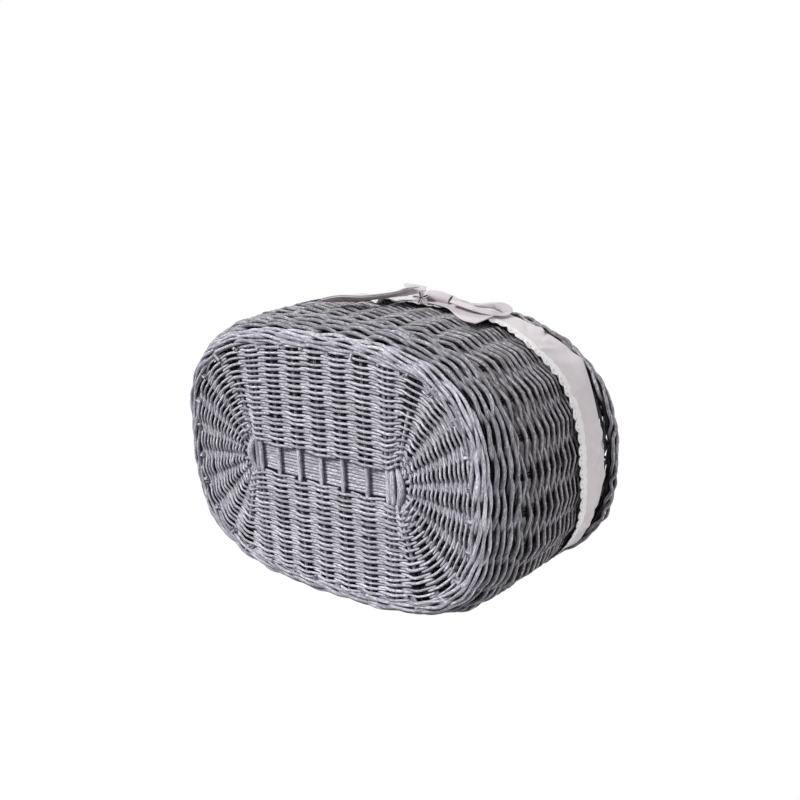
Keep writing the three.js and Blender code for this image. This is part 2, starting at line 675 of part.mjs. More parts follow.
// Lid: a stick along the hinge, ribs turned into a round border, and the weave between them
const hingeStickX = barAxis + STICK_DIAMETER + HINGE_STICK_GAP;
const weaveStart = hingeStickX + STICK_DIAMETER / 2 + CLEARANCE;
const lidOval = {
  length: RIM_LENGTH / 2 + LID_END_OVERHANG - STICK_DIAMETER / 2,
  width: RIM_WIDTH / 2 + LID_SIDE_OVERHANG - STICK_DIAMETER / 2,
  squareness: RIM_SQUARENESS,
};

function lidArc(offset, steps) {
  const corner = angleAtX(lidOval, weaveStart, offset);
  return evenAngles(lidOval, steps, -corner, corner).map((angle) => ovalPoint(lidOval, angle, offset));
}

// Places across the lid of its ribs, and of as many more past the ribs on each side
function ribPlaces(more) {
  const pitch = (2 * (lidOval.width - STICK_DIAMETER)) / (LID_RIB_COUNT + 1);
  const reach = pitch * ((LID_RIB_COUNT - 1) / 2 + more);
  return levels(-reach, reach, LID_RIB_COUNT - 1 + 2 * more);
}

function lidRibs() {
  return ribPlaces(0).map((y) => {
    const rest = 1 - Math.abs(y / lidOval.width) ** lidOval.squareness;
    const reach = lidOval.length * rest ** (1 / lidOval.squareness);
    const ends = [weaveStart, reach].map((x) => new THREE.Vector3(x, y, lidLevel));
    return rod(ends, LID_RIB_DIAMETER / 2, ROD_SIDES, UP);
  });
}

function ribsAndBorder() {
  const points = lidArc(0, LID_ARC_STEPS).map(({ x, y }) => new THREE.Vector3(x, y, lidLevel));
  const start = points[0].clone().setX(weaveStart);
  const arc = [start, ...points.slice(1, -1), points[points.length - 1].clone().setX(weaveStart)];
  const border = rod(arc, STICK_DIAMETER / 2, HANDLE_SIDES, UP);
  return join([border, ...lidRibs()]);
}

// Row of the lid's weave: a flat rod along Y that passes over one rib and under the next
function lidRow(row) {
  const half = LID_ROD_THICKNESS / 2;
  const swing = LID_RIB_DIAMETER / 2 + CLEARANCE + half;
  const line = ribPlaces(2).map((y, i) => [y, (i + row) % 2 ? -swing : swing]);
  const outline = [...line.map(([y, z]) => [y, z - half]), ...line.reverse().map(([y, z]) => [y, z + half])];
  const shape = new THREE.Shape(outline.map(([y, z]) => new THREE.Vector2(y, z)));
  const geometry = plate(shape, LID_ROW_PITCH, LID_ROW_PITCH / 2);
  geometry.applyMatrix4(new THREE.Matrix4().makeBasis(ACROSS, UP, ALONG));
  return geometry.translate(weaveStart + row * LID_ROW_PITCH, 0, lidLevel);
}

function lidWeave() {
  const inset = -(STICK_DIAMETER / 2 + LID_EDGE_GAP);
  const arc = lidArc(inset, LID_ARC_STEPS).map(({ x, y }) => [x, y]);
  const reach = arc[arc.length - 1][1];
  const edge = loopedEdge(weaveStart, reach, hingeStickX + loopOutside + CLEARANCE);
  const outline = [...arc, ...edge.slice(1, -1).reverse()];
  const shape = new THREE.Shape(outline.map(([x, y]) => new THREE.Vector2(x, y)));
  const rowCount = Math.ceil((lidOval.length - weaveStart) / LID_ROW_PITCH);
  const rows = Array.from({ length: rowCount }, (_, row) => lidRow(row));
  return keep(join(rows), plate(shape, STICK_DIAMETER, lidLevel));
}

// Ring round the bar's stick and the lid's stick: a stretched circle, extruded along Y
function hingeLoop(y) {
  const stadium = (radius, target) => {
    const circle = unitPolygon(STICK_SIDES).map((point) => point.multiplyScalar(radius));
    const split = circle.map(({ x, y: z }) => [x + (x > 0 ? hingeStickX : barAxis), z]);
    return target.setFromPoints(split.map(([x, z]) => new THREE.Vector2(x, z)));
  };
  const shape = stadium(loopOutside, new THREE.Shape());
  shape.holes.push(stadium(loopBore, new THREE.Path()));
  const geometry = plate(shape, HINGE_LOOP_WIDTH, 0);
  geometry.rotateX(Math.PI / 2);
  return geometry.translate(0, y, lidLevel);
}

function addLid(name, turn) {
  const lid = new THREE.Group();
  lid.rotation.z = turn;
  const reach = lidOval.width + STICK_DIAMETER / 2;
  addPiece(`lid_${name}_hinge_stick`, straightStick(hingeStickX, reach), WILLOW, lid);
  addPiece(`lid_${name}_ribs_and_border`, ribsAndBorder(), DARK_WILLOW, lid);
  addPiece(`lid_${name}_weave`, lidWeave(), DARK_WILLOW, lid);
  addPiece(`lid_${name}_hinge_loop_1`, hingeLoop(-HINGE_LOOP_SPACING / 2), WILLOW, lid);
  addPiece(`lid_${name}_hinge_loop_2`, hingeLoop(HINGE_LOOP_SPACING / 2), WILLOW, lid);
  group.add(lid);
}

addBase();
addWall();
addLiner();
addHandle();
addBow('front', 0);
addBow('back', Math.PI);
addBar();
addLid('right', 0);
addLid('left', Math.PI);

export default group;
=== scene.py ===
"""Looks of an oval lidded shopping basket: woven grey willow, a cotton liner with a lace cuff, and bows.

Sizes are in millimetres in the basket's own frame, +Z up from the standing surface, +X along its length
towards the end in view, and -Y towards the long side with the bow in view. Meshes are in metres.
"""
from functools import partial

import bpy
import numpy as np
from mathutils import Matrix


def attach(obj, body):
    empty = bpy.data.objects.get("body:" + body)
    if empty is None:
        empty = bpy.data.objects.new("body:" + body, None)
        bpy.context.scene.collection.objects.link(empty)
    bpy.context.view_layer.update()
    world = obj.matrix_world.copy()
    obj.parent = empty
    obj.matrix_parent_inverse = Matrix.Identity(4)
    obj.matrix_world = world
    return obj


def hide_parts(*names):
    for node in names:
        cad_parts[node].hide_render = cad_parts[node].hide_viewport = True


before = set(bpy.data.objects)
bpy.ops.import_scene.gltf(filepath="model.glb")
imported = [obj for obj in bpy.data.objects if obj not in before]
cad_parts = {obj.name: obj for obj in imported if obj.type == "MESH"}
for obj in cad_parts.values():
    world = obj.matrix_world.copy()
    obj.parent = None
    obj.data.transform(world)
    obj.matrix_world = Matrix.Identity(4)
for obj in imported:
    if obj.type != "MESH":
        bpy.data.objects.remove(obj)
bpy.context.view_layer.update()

MM = 0.001
TURN = 2 * np.pi
UP = np.array([0.0, 0.0, 1.0])
DOWN = -UP
HALF_TURN = np.array([-1.0, -1.0, 1.0])

# Outline of the woven body, as in the solids
BASE_LENGTH = 366.0
BASE_WIDTH = 262.0
BASE_SQUARENESS = 3.0
RIM_LENGTH = 440.0
RIM_WIDTH = 287.0
RIM_SQUARENESS = 2.5
BASKET_HEIGHT = 172.0
BASE_TOP = 12.7
END_BULGE = 8.4
SIDE_BULGE = 7.7
LOW_BULGE = 5.5

# Sticks and long rods of the base
CROSS_STICK_RADIUS = 2.6
CROSS_STICK_TAPER = 0.25
CROSS_STICK_FLATNESS = 0.7
CROSS_STICK_PITCH = 28.4
CROSS_STICK_COLUMNS = 7
CROSS_LEVEL = 5.0
DOUBLE_STICK_GAP = 5.5
LONG_ROD_RADIUS = 1.9
LONG_ROD_FLATNESS = 0.85
LONG_ROD_PITCH = 3.5
LONG_ROD_COUNT = 9
LONG_LEVEL = 9.5
HALF_STRIP = 14.8
FAN_LEVEL = 6.2
FAN_GAP = 4.0
WRAP_START = 92.15
# Beyond this the fanned rods lie under the rows and are coloured near-black: painted shade
FAN_SHADE_START = WRAP_START + 16
END_WRAP_RADIUS = 4.2
END_WRAP_TIP = 0.35
END_WRAP_FLATNESS = 0.7
END_WRAP_DEPTH = 9.0
END_WRAP_REACH = 22.0
END_WRAP_INSET = 0.35
END_WRAP_TUCK = 3.2

# Rows of the base; those at the places SHORT_ROWS of each group stop at the outer cross sticks
BASE_ROWS = 38
ROW_GROUP = 8
SHORT_ROWS = (3, 4)
BASE_ROD_RADIUS = 1.5
FAN_ROD_RADIUS = 1.38
BASE_SWING = 3.0
BASE_STEPS = 8
ROW_JITTER = 0.14
SWING_WANDER = 0.1
BASE_LEVEL_WANDER = 0.18
BASE_RADIUS_WANDER = 0.08
# A base row turns near-black between these shares of its swing, where it dives under a stick: painted shade
BASE_SHADE_EDGE = (-0.45, -0.25)

# Waling; rounds of the foot by height, offset from the wall, tilt of the outer side, and paint and painted
# light kept on the strands' inner side, whose lack gives painted shade there
WALE_TURNS = 11
WALE_STEPS = 30
FOOT_WIDTH = 8.3
FOOT_ROUNDS = (
    (4.8, -7.4, 1.75, 3.0), (5.0, -3.8, 1.05, 0.5), (7.2, -1.4, 0.55, 0.5), (11.2, -0.6, 0.15, 0.5))
UPSETT_TOP = 39.0
UPSETT_LEVELS = (BASE_TOP + 4.6, UPSETT_TOP - 3.0)
UPSETT_ROUNDS = 4
UPSETT_OFFSET = -2.0

# Butts of the stakes: their inner end's offset from the wall and level
BUTT_RADIUS = 1.75
BUTT_LENGTH = 9.0
BUTT_OFFSET = -13.5
BUTT_LEVEL = 3.4
BUTT_RISE = 1.2

# Woven wall
STAKES = 32
STAKE_RADIUS = 1.7
STAKE_OFFSET = -5.4
STAKE_TOP = BASKET_HEIGHT - 8
# Above this height the stakes lie behind the rows and are coloured near-black: painted shade
STAKE_SHADE_START = 30.0
BORDER_LEVEL = BASKET_HEIGHT - 7
BORDER_OFFSET = -6.4
WALL_ROWS = 31
WALL_ROWS_TOP = 163.0
WALL_ROW_OFFSET = STAKE_OFFSET + 0.6
WALL_ROW_THICKNESS = 0.385
LOW_ROW_PITCH = 5.1
HIGH_ROW_PITCH = 3.1
PITCH_FALL = 0.45
WALL_SWING = 3.6
WALL_SHARPNESS = 0.85
WALL_STEPS = 8
WALL_LEVEL_WANDER = 0.35
WALL_RADIUS_WANDER = 0.07
# A wall row turns near-black between these shares of its swing, where it passes inside a stake: painted shade
WALL_SHADE_EDGE = (-0.5, 0.0)

# Liner; the gather grows between two heights, and the lace's ruffle between two polar angles by the bow
BAG_TOP = 171.0
BAG_WALL_FOOT = 28.0
BAG_FLOOR = 19.0
BAG_INSET = -14.5
CUFF_TOP = 174.5
CUFF_NOTCH = 11.5
CUFF_GATHER = 0.075
GATHER_LEVELS = (160.0, 135.0)
CUFF_CREASES = 44
EDGE_BEND = 150.0
EDGE_DEPTH = 11.0
HEM_LEVEL = 130.0
HEM_LIFT_TOP = 165.0
LACE_HEIGHT = 9.5
LACE_SEAM = 4.0
LACE_OFFSET = 1.7
LACE_UNEVENNESS = 0.7
LACE_BY_BOW = (1.32, 1.44)
LACE_THICKNESS = 0.6
SCALLOP_LENGTH = 11.5
CLOTH_THICKNESS = 1.0

# Corners of each half of the cuff: share of its length, stand-off of its top edge, lift of its hem
RIGHT_CUFF = np.array([
    (0.0, 0.0, -8.0), (0.06, 0.0, -5.0), (0.12, -0.5, 0.0), (0.201, -0.5, 0.0), (0.245, 1.0, -4.0),
    (0.273, 2.2, -4.5), (0.321, 8.0, -1.0), (0.342, 4.5, 0.0), (0.418, -2.5, 0.0), (0.478, 0.0, 1.0),
    (0.531, 2.2, 4.0), (0.6, 1.5, 11.0), (0.668, 6.0, 12.0), (0.76, 4.0, 10.0), (0.88, 1.0, 2.0),
    (1.0, 0.0, -8.0)])
LEFT_CUFF = np.array([
    (0.0, 0.0, -8.0), (0.1, 1.0, 2.0), (0.21, -1.0, 9.0), (0.32, 2.0, 10.0), (0.4, 0.0, 6.0),
    (0.5, 2.5, 1.0), (0.58, -1.0, 0.0), (0.68, 1.5, 0.0), (0.79, 0.0, 0.0), (0.9, 1.5, -3.0),
    (1.0, 0.0, -10.0)])

# Bow
LAYER_STEP = np.array([0, -1.3, 0.3])
OPEN_DEPTH = np.array([-5.5, 2.7, 7.2])
KNOT_RADIUS = 6.5
KNOT_FLATNESS = 0.75
KNOT_NECK = 0.2
KNOT_GATHER = 0.17

# Handle and bar
HANDLE_RADIUS = 5.5
HANDLE_RISE = 165.0
HANDLE_SPAN = 139.5
HANDLE_TAIL_LEVELS = (BASKET_HEIGHT - 80, BASKET_HEIGHT - 8)
HANDLE_EASE_LEVELS = (BASKET_HEIGHT - 50, BASKET_HEIGHT - 10)
HANDLE_TAIL_TAPER = (0.2, 0.75)
HANDLE_TAIL_POINTS = 14
STICK_RADIUS = 4.5
BAR_AXIS = 24.0
BAR_RIB_PITCH = 11.0
BAR_RIB_RADIUS = 1.8
BAR_RIB_REACH = RIM_WIDTH / 2 - 10
BAR_WEAVE_REACH = RIM_WIDTH / 2 - 14
BAR_ROWS = 80
BAR_ROW_REACH = 19.0
BAR_ROW_RADIUS = 1.5
BAR_SWING = 2.3

# Lids
LID_LEVEL = 178.3
LID_HALF_LENGTH = 227.5
LID_HALF_WIDTH = 143.5
LID_EDGE_GAP = 8.0
LID_RIB_PITCH = 26.9
LID_RIB_RADIUS = 1.8
LID_ROW_PITCH = 5.6
LID_ROW_RADIUS = 2.75
LID_ROW_FLATNESS = 0.55
LID_SWING = 2.9
LID_CORE_RADIUS = 3.2
LID_BORDER_INSET = 7.4
WEAVE_START = 38.8
WEAVE_END = LID_HALF_LENGTH - LID_EDGE_GAP - 2
LID_BORDER_START = WEAVE_START - 4
HINGE_STICK_X = 34.0
HINGE_STICK_REACH = LID_HALF_WIDTH - 4
HINGE_LOOP_SPACING = 188.0
HINGE_LOOP_TURNS = 4
HINGE_LOOP_WIDTH = 9.5
HINGE_LOOP_GAP = 1.3
HINGE_LOOP_RADIUS = 1.25

# Camera fitted to the outline of the base, the rim, the lace and the lid's edge
VIEW_TURN = 0.651
VIEW_DROP = 0.284
VIEW_ROLL = -0.037
VIEW_DISTANCE = 893.5
VIEW_SHIFT = (80.1, 69.4)
FOCAL_PIXELS = 915.0
IMAGE_PIXELS = 800.0
SENSOR_WIDTH = 36.0

# Suns: direction they shine from, strength and angle; light of the world on the object; floor
SUNS = {
    "Key light": ((-0.33, -0.7, -0.63), 3.1, 0.3),
    "Fill light": ((0.95, 0.1, 0.25), 2.05, 0.7),
    "Top light": ((-0.5, -0.5, 0.7), 2.0, 0.5),
}
WORLD_LIGHT = 0.2
FLOOR_HALF = 3000.0

# Curves and outlines


def unit(vectors):
    """Vectors scaled to length one."""
    return vectors / np.maximum(np.linalg.norm(vectors, axis=-1, keepdims=True), 1e-9)


def step(value, start, end):
    """Straight rise from 0 where the value is start to 1 where it is end."""
    return np.clip((value - start) / (end - start), 0, 1)


def bell(value, centre, width):
    """Bell curve: exp(-((value - centre) / width)^2)."""
    return np.exp(-((value - centre) / width) ** 2)


def wall_size(z):
    """Half length, half width and squareness of the wall at height z.

    Straight flare, plus a parabolic belly 4 s (1 - s), plus a low swell r (1 - r)^3 over its greatest value.
    """
    z = np.asarray(z, float)
    share = z / BASKET_HEIGHT
    belly = 4 * share * (1 - share)
    rise = step(z, BASE_TOP, BASKET_HEIGHT)
    low = LOW_BULGE * rise * (1 - rise) ** 3 / (0.25 * 0.75 ** 3)
    half_length = (BASE_LENGTH + (RIM_LENGTH - BASE_LENGTH) * share) / 2 + END_BULGE * belly + low
    half_width = (BASE_WIDTH + (RIM_WIDTH - BASE_WIDTH) * share) / 2 + SIDE_BULGE * belly + low
    return half_length, half_width, BASE_SQUARENESS + (RIM_SQUARENESS - BASE_SQUARENESS) * share


def oval(angle, half_length, half_width, squareness):
    """Point of a superellipse at a polar angle: r = (|cos a / L|^n + |sin a / W|^n)^(-1/n)."""
    along = np.abs(np.cos(angle) / half_length) ** squareness
    across = np.abs(np.sin(angle) / half_width) ** squareness
    radius = (along + across) ** (-1 / squareness)
    return np.stack([radius * np.cos(angle), radius * np.sin(angle)], -1)


def wall_point(angle, z, offset):
    """Point of the wall at a polar angle and height, on the oval grown by an offset."""
    angle, z, offset = np.broadcast_arrays(np.asarray(angle, float), z, offset)
    half_length, half_width, squareness = wall_size(z)
    flat = oval(angle, half_length + offset, half_width + offset, squareness)
    return np.concatenate([flat, z[..., None]], -1)


def angle_at_x(x, half_length, half_width, squareness):
    """Polar angle at which a superellipse passes x on its +Y side."""
    rest = 1 - np.abs(x / half_length) ** squareness
    return np.arctan2(half_width * rest ** (1 / squareness), x)


def run_length(paths):
    """Length from the start of each path (..., N, D) to each of its points."""
    steps = np.linalg.norm(np.diff(paths, axis=-2), axis=-1)
    return np.concatenate([np.zeros((*steps.shape[:-1], 1)), steps.cumsum(-1)], -1)


def even_angles(size, count, start, end):
    """Polar angles that part an arc of a superellipse into equal lengths."""
    fine = np.linspace(start, end, 2881)
    runs = run_length(oval(fine, *size))
    return np.interp(np.linspace(0, runs[-1], count + 1), runs, fine)


def spline_point(before, here, ahead, beyond, f):
    """Catmull-Rom point at a share f of the way from here to ahead."""
    square = 2 * before - 5 * here + 4 * ahead - beyond
    cube = 3 * (here - ahead) + beyond - before
    return here + 0.5 * f * (ahead - before + f * (square + f * cube))


def spline_round(knots, steps):
    """Closed splines through knots (..., K, D), sampled at steps points between two knots."""
    f = (np.arange(steps) / steps)[:, None]
    around = [np.roll(knots, shift, -2)[..., None, :] for shift in (1, 0, -1, -2)]
    return spline_point(*around, f).reshape(*knots.shape[:-2], -1, knots.shape[-1])


def spline_open(knots, samples):
    """Open spline through knots (K, D), sampled at even parameters from end to end."""
    knots = np.asarray(knots, float)
    padded = np.concatenate([2 * knots[:1] - knots[1:2], knots, 2 * knots[-1:] - knots[-2:-1]])
    place = np.linspace(0, len(knots) - 1, samples)
    first = np.minimum(place.astype(int), len(knots) - 2)
    return spline_point(*(padded[first + k] for k in range(4)), (place - first)[:, None])


def drift(rng, count, knots, steps, size):
    """Slow random wander along closed rods: normal values at the knots, joined by closed splines."""
    return spline_round(rng.normal(0, size, (count, knots, 1)), steps)[..., 0]


def tangents(paths, closed):
    """Direction of paths (..., N, 3) at each point, from the point before it to the point after it."""
    ahead = np.roll(paths, -1, -2)
    behind = np.roll(paths, 1, -2)
    if not closed:
        ahead[..., -1, :] = paths[..., -1, :]
        behind[..., 0, :] = paths[..., 0, :]
    return unit(ahead - behind)


def ring_frame(z, offset, steps):
    """Closed path round the wall at even lengths, and its outward directions: tangent x up."""
    path = wall_point(even_angles(wall_size(z), steps, 0, TURN)[:-1], z, offset)
    return path, np.cross(tangents(path, True), UP)


# Rods and sheets

STRAND_SHIFT = 900.0
# Share of paint and painted light kept on the back of a rod: painted shade there
BACK_LIGHT = 0.25
SWAY_SINES = 5
SWAY_WAVES = (3, 34)
SWAY_SPREAD = 1.6
SWAY_THICKNESS = 0.12


def grid_quads(rows, columns, closed_rows=False, closed_columns=False):
    """Corner indexes of the quads of a grid whose point (i, j) has index i * columns + j."""
    i = np.arange(rows if closed_rows else rows - 1)[:, None]
    j = np.arange(columns if closed_columns else columns - 1)[None, :]
    i_next = (i + 1) % rows
    j_next = (j + 1) % columns
    corners = [i * columns + j, i * columns + j_next, i_next * columns + j_next, i_next * columns + j]
    return np.stack(np.broadcast_arrays(*corners), -1).reshape(-1, 4)


def rods(paths, radius, outward, seed, closed=True, sides=6, lift=1.0, flat=1.0):
    """Round rods along paths (R, N, 3): path + radius (cos q side + flat sin q normal), q round the rod.

    side = outward x tangent and normal = tangent x side. Each point keeps its place in the rod (length
    along it and its two cross-section coordinates, with a random shift per rod), the rod's random tone,
    and its share of paint and painted light, 1 on the outward face of a lifted stretch and a quarter at its
    back; low shares give painted shade and high ones a painted highlight.
    """
    count, steps = paths.shape[:2]
    rng = np.random.default_rng(seed)
    tangent = tangents(paths, closed)
    side = unit(np.cross(np.broadcast_to(outward, paths.shape), tangent))
    normal = np.cross(tangent, side)
    q = TURN * np.arange(sides) / sides
    radius = np.broadcast_to(radius, (count, steps))[..., None]
    across = radius * np.cos(q)
    out = radius * np.sin(q) * flat
    points = paths[:, :, None] + across[..., None] * side[:, :, None] + out[..., None] * normal[:, :, None]
    shift = rng.uniform(0, STRAND_SHIFT, (count, 1, 1))
    strand = np.stack(np.broadcast_arrays(run_length(paths)[..., None] + shift, across + shift, out), -1)
    face = 0.5 + 0.5 * np.sin(q)
    # Paint and painted light: full on the outward face of a lifted stretch, low on its back and in recesses,
    # where the colour turns to painted shade
    coat_and_light = np.broadcast_to(lift, (count, steps))[..., None] * (BACK_LIGHT + (1 - BACK_LIGHT) * face)
    tone = np.broadcast_to(rng.uniform(0, 1, (count, 1, 1)), coat_and_light.shape)
    quads = grid_quads(steps, sides, closed, True)[:, ::-1]
    quads = (np.arange(count)[:, None, None] * steps * sides + quads).reshape(-1, 4)
    if not closed:
        quads = np.concatenate([quads, rod_ends(count, steps, sides)])
    return {
        "points": points.reshape(-1, 3), "quads": quads, "strand": strand.reshape(-1, 3),
        "tone": tone.reshape(-1), "coat_and_light": coat_and_light.reshape(-1),
    }


def rod_ends(count, steps, sides):
    """Quads that close both ends of open rods: fans of quads from the first corner of each end."""
    fan = 2 * np.arange(sides // 2 - 1)[:, None] + np.array([1, 2, 3])
    fan = np.concatenate([np.zeros((len(fan), 1), int), fan], 1)
    first = np.arange(count)[:, None, None] * steps * sides
    last = first + (steps - 1) * sides
    return np.concatenate([(first + fan[:, ::-1]).reshape(-1, 4), (last + fan).reshape(-1, 4)])


def merged(parts):
    """Several sets of rods as one."""
    starts = np.cumsum([0] + [len(part["points"]) for part in parts[:-1]])
    whole = {key: np.concatenate([part[key] for part in parts]) for key in parts[0] if key != "quads"}
    whole["quads"] = np.concatenate([part["quads"] + start for part, start in zip(parts, starts)])
    return whole


def turned(part):
    """The same set of rods half a turn round the basket's upright axis."""
    return {**part, "points": part["points"] * HALF_TURN}


def rope(path, outward, strands, turns, radial, upright, radius, seed, closed=True, wander=0.0, inside=0.4):
    """Strands laid round a path: path + radial cos(p) outward + upright sin(p) (tangent x outward).

    p = 2 pi (turns * share of the length + strand / strands). Each strand wanders by a sum of five sines
    along its length, of random phase and a whole number of waves, so that a closed strand meets itself.
    Strands turn near-black, a painted shade of their inner sides, where 2 cos(p) falls under -inside.
    """
    rng = np.random.default_rng(seed)
    tangent = tangents(path, closed)
    outward = unit(outward - (outward * tangent).sum(-1, keepdims=True) * tangent)
    lengths = np.linalg.norm(np.diff(path, axis=0, append=path[:1]), axis=1)
    if not closed:
        lengths[-1] = 0
    share = (np.cumsum(lengths) - lengths) / lengths.sum()
    phase = TURN * (turns * share + np.arange(strands)[:, None] / strands)
    waves = rng.integers(*SWAY_WAVES, (3, strands, SWAY_SINES, 1))
    shifts = rng.uniform(0, TURN, waves.shape)
    sway = wander * np.sin(TURN * waves * share + shifts).sum(2) / SWAY_SPREAD
    above = np.cross(tangent, outward)
    out = radial * np.cos(phase) + sway[0]
    rise = upright * np.sin(phase) + sway[1]
    paths = path + out[..., None] * outward + rise[..., None] * above
    facing = np.cos(phase)[..., None] * outward + np.sin(phase)[..., None] * above
    # Inner sides of the strands turn near-black: painted shade between strands
    painted = np.clip(inside + 2 * np.cos(phase), 0, 1)
    return rods(paths, radius * (1 + SWAY_THICKNESS * sway[2]), facing, seed, closed, lift=painted)


def mesh_object(name, points, quads, material):
    """Mesh object at the origin from points in millimetres and quads, shaded smooth."""
    mesh = bpy.data.meshes.new(name)
    mesh.vertices.add(len(points))
    mesh.vertices.foreach_set("co", (points * MM).astype(np.float32).ravel())
    mesh.loops.add(quads.size)
    mesh.loops.foreach_set("vertex_index", quads.astype(np.int32).ravel())
    mesh.polygons.add(len(quads))
    mesh.polygons.foreach_set("loop_start", np.arange(0, quads.size, 4, dtype=np.int32))
    mesh.polygons.foreach_set("use_smooth", np.ones(len(quads), bool))
    mesh.update(calc_edges=True)
    mesh.materials.append(material)
    piece = bpy.data.objects.new(name, mesh)
    bpy.context.scene.collection.objects.link(piece)
    return piece


def add_rods(name, part, finish, node, body="basket"):
    """Woven piece with its strand and tone attributes and its share of paint and painted light, standing for
    a CAD node of a body.
    """
    material, slot = finish
    piece = mesh_object(name, part["points"], part["quads"], material)
    strand = piece.data.attributes.new("strand", "FLOAT_VECTOR", "POINT")
    strand.data.foreach_set("vector", part["strand"].astype(np.float32).ravel())
    for key in ("tone", "coat_and_light"):
        values = piece.data.attributes.new(key, "FLOAT", "POINT")
        values.data.foreach_set("value", part[key].astype(np.float32))
    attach(piece, body)
    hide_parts(node)


def add_cloth(name, points, finish, node, closed=False, thickness=CLOTH_THICKNESS):
    """Sheet of cloth on a grid of points (rows, columns, 3), with a UV map in millimetres, made thick."""
    material, slot = finish
    rows, columns = points.shape[:2]
    quads = grid_quads(rows, columns, closed)
    piece = mesh_object(name, points.reshape(-1, 3), quads, material)
    length, width, area = sheet_measures(points, closed)
    u = np.linspace(0, length, rows + closed)
    v = np.linspace(0, width, columns)
    i, j = np.divmod(quads, columns)
    if closed:
        i[:, 2:] = np.where(i[:, 2:] == 0, rows, i[:, 2:])
    coords = np.stack([u[i], v[j]], -1)
    piece.data.uv_layers.new(name="cloth").data.foreach_set("uv", coords.astype(np.float32).ravel())
    shell = piece.modifiers.new("Cloth thickness", "SOLIDIFY")
    shell.thickness = thickness * MM
    shell.offset = 0
    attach(piece, "basket")
    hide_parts(node)


def sheet_measures(points, closed):
    """Mean length along the rows' direction, mean width along the columns' direction, and area of a grid.

    The area comes from the cross products of the quads' diagonals, and is at most length by width.
    """
    grid = np.concatenate([points, points[:1]]) if closed else points
    length = np.linalg.norm(np.diff(grid, axis=0), axis=2).sum(0).mean()
    width = np.linalg.norm(np.diff(points, axis=1), axis=2).sum(1).mean()
    first = grid[1:, 1:] - grid[:-1, :-1]
    second = grid[1:, :-1] - grid[:-1, 1:]
    area = np.linalg.norm(np.cross(first, second), axis=2).sum() / 2
    return length, width, min(area, length * width)


# Materials


def colour(red, green, blue):
    """Linear colour of an sRGB triple from 0 to 255."""
    value = np.array([red, green, blue]) / 255
    linear = np.where(value <= 0.04045, value / 12.92, ((value + 0.055) / 1.055) ** 2.4)
    return (*linear.tolist(), 1.0)


class Nodes:
    """Short way to add and link nodes in a tree."""

    def __init__(self, tree):
        self.tree = tree

    def add(self, kind, settings=None, **inputs):
        """Node of a kind with settings set on it and inputs given as values or sockets, by socket name."""
        node = self.tree.nodes.new(kind)
        for name, value in (settings or {}).items():
            setattr(node, name, value)
        for name, value in inputs.items():
            self.put(node.inputs[name.replace("_", " ")], value)
        return node

    def put(self, socket, value):
        """Links a socket to an input, or sets the input's value."""
        if isinstance(value, bpy.types.NodeSocket):
            self.tree.links.new(value, socket)
        else:
            socket.default_value = value

    def put_all(self, node, *values):
        """Puts values into the first inputs of a node, in order."""
        for socket, value in zip(node.inputs, values):
            self.put(socket, value)

    def math(self, operation, *values):
        """Result of a math node."""
        node = self.add("ShaderNodeMath", {"operation": operation})
        self.put_all(node, *values)
        return node.outputs[0]

    def weighted(self, *terms, start=0.0):
        """Start plus the sum of value times weight over the terms (value, weight)."""
        total = start
        for value, weight in terms:
            total = self.math("MULTIPLY_ADD", value, weight, total)
        return total

    def ramp(self, value, low, high, to_low=0.0, to_high=1.0):
        """Smooth step of a value from low to high."""
        node = self.add("ShaderNodeMapRange", {"interpolation_type": "SMOOTHSTEP"})
        self.put_all(node, value, low, high, to_low, to_high)
        return node.outputs[0]

    def mix(self, share, first, second):
        """Mix of two colours."""
        node = self.add("ShaderNodeMix", {"data_type": "RGBA"})
        for index, value in ((0, share), (6, first), (7, second)):
            self.put(node.inputs[index], value)
        return node.outputs[2]

    def scaled(self, vector, scale):
        """Vector times a scale per axis."""
        node = self.add("ShaderNodeVectorMath", {"operation": "MULTIPLY"})
        self.put_all(node, vector, scale)
        return node.outputs[0]

    def noise(self, vector, scale, detail, roughness):
        """Noise value at a vector times a scale per axis."""
        place = self.scaled(vector, scale)
        node = self.add("ShaderNodeTexNoise", Vector=place, Scale=1.0, Detail=detail, Roughness=roughness)
        return node.outputs[0]

    def attribute(self, name):
        """Attribute node of the mesh."""
        return self.add("ShaderNodeAttribute", {"attribute_name": name})

    def cloth_place(self):
        """Place on a sheet in millimetres along and across it."""
        return self.add("ShaderNodeUVMap", {"uv_map": "cloth"}).outputs[0]

    def shown_rays(self):
        """1 for the rays that show floor and background: from the camera, a gloss or a clear piece."""
        path = self.add("ShaderNodeLightPath")
        shown = self.math("MAXIMUM", path.outputs["Is Camera Ray"], path.outputs["Is Glossy Ray"])
        return self.math("MAXIMUM", shown, path.outputs["Is Transmission Ray"])


def group_tree(name, colours, values):
    """Shader node group with named colours as inputs, and a colour and named values as outputs."""
    tree = bpy.data.node_groups.new(name, "ShaderNodeTree")
    for label in colours:
        tree.interface.new_socket(label, in_out="INPUT", socket_type="NodeSocketColor")
    tree.interface.new_socket("Color", in_out="OUTPUT", socket_type="NodeSocketColor")
    for label in values:
        tree.interface.new_socket(label, in_out="OUTPUT", socket_type="NodeSocketFloat")
    nodes = Nodes(tree)
    return nodes, nodes.add("NodeGroupInput").outputs, nodes.add("NodeGroupOutput").inputs


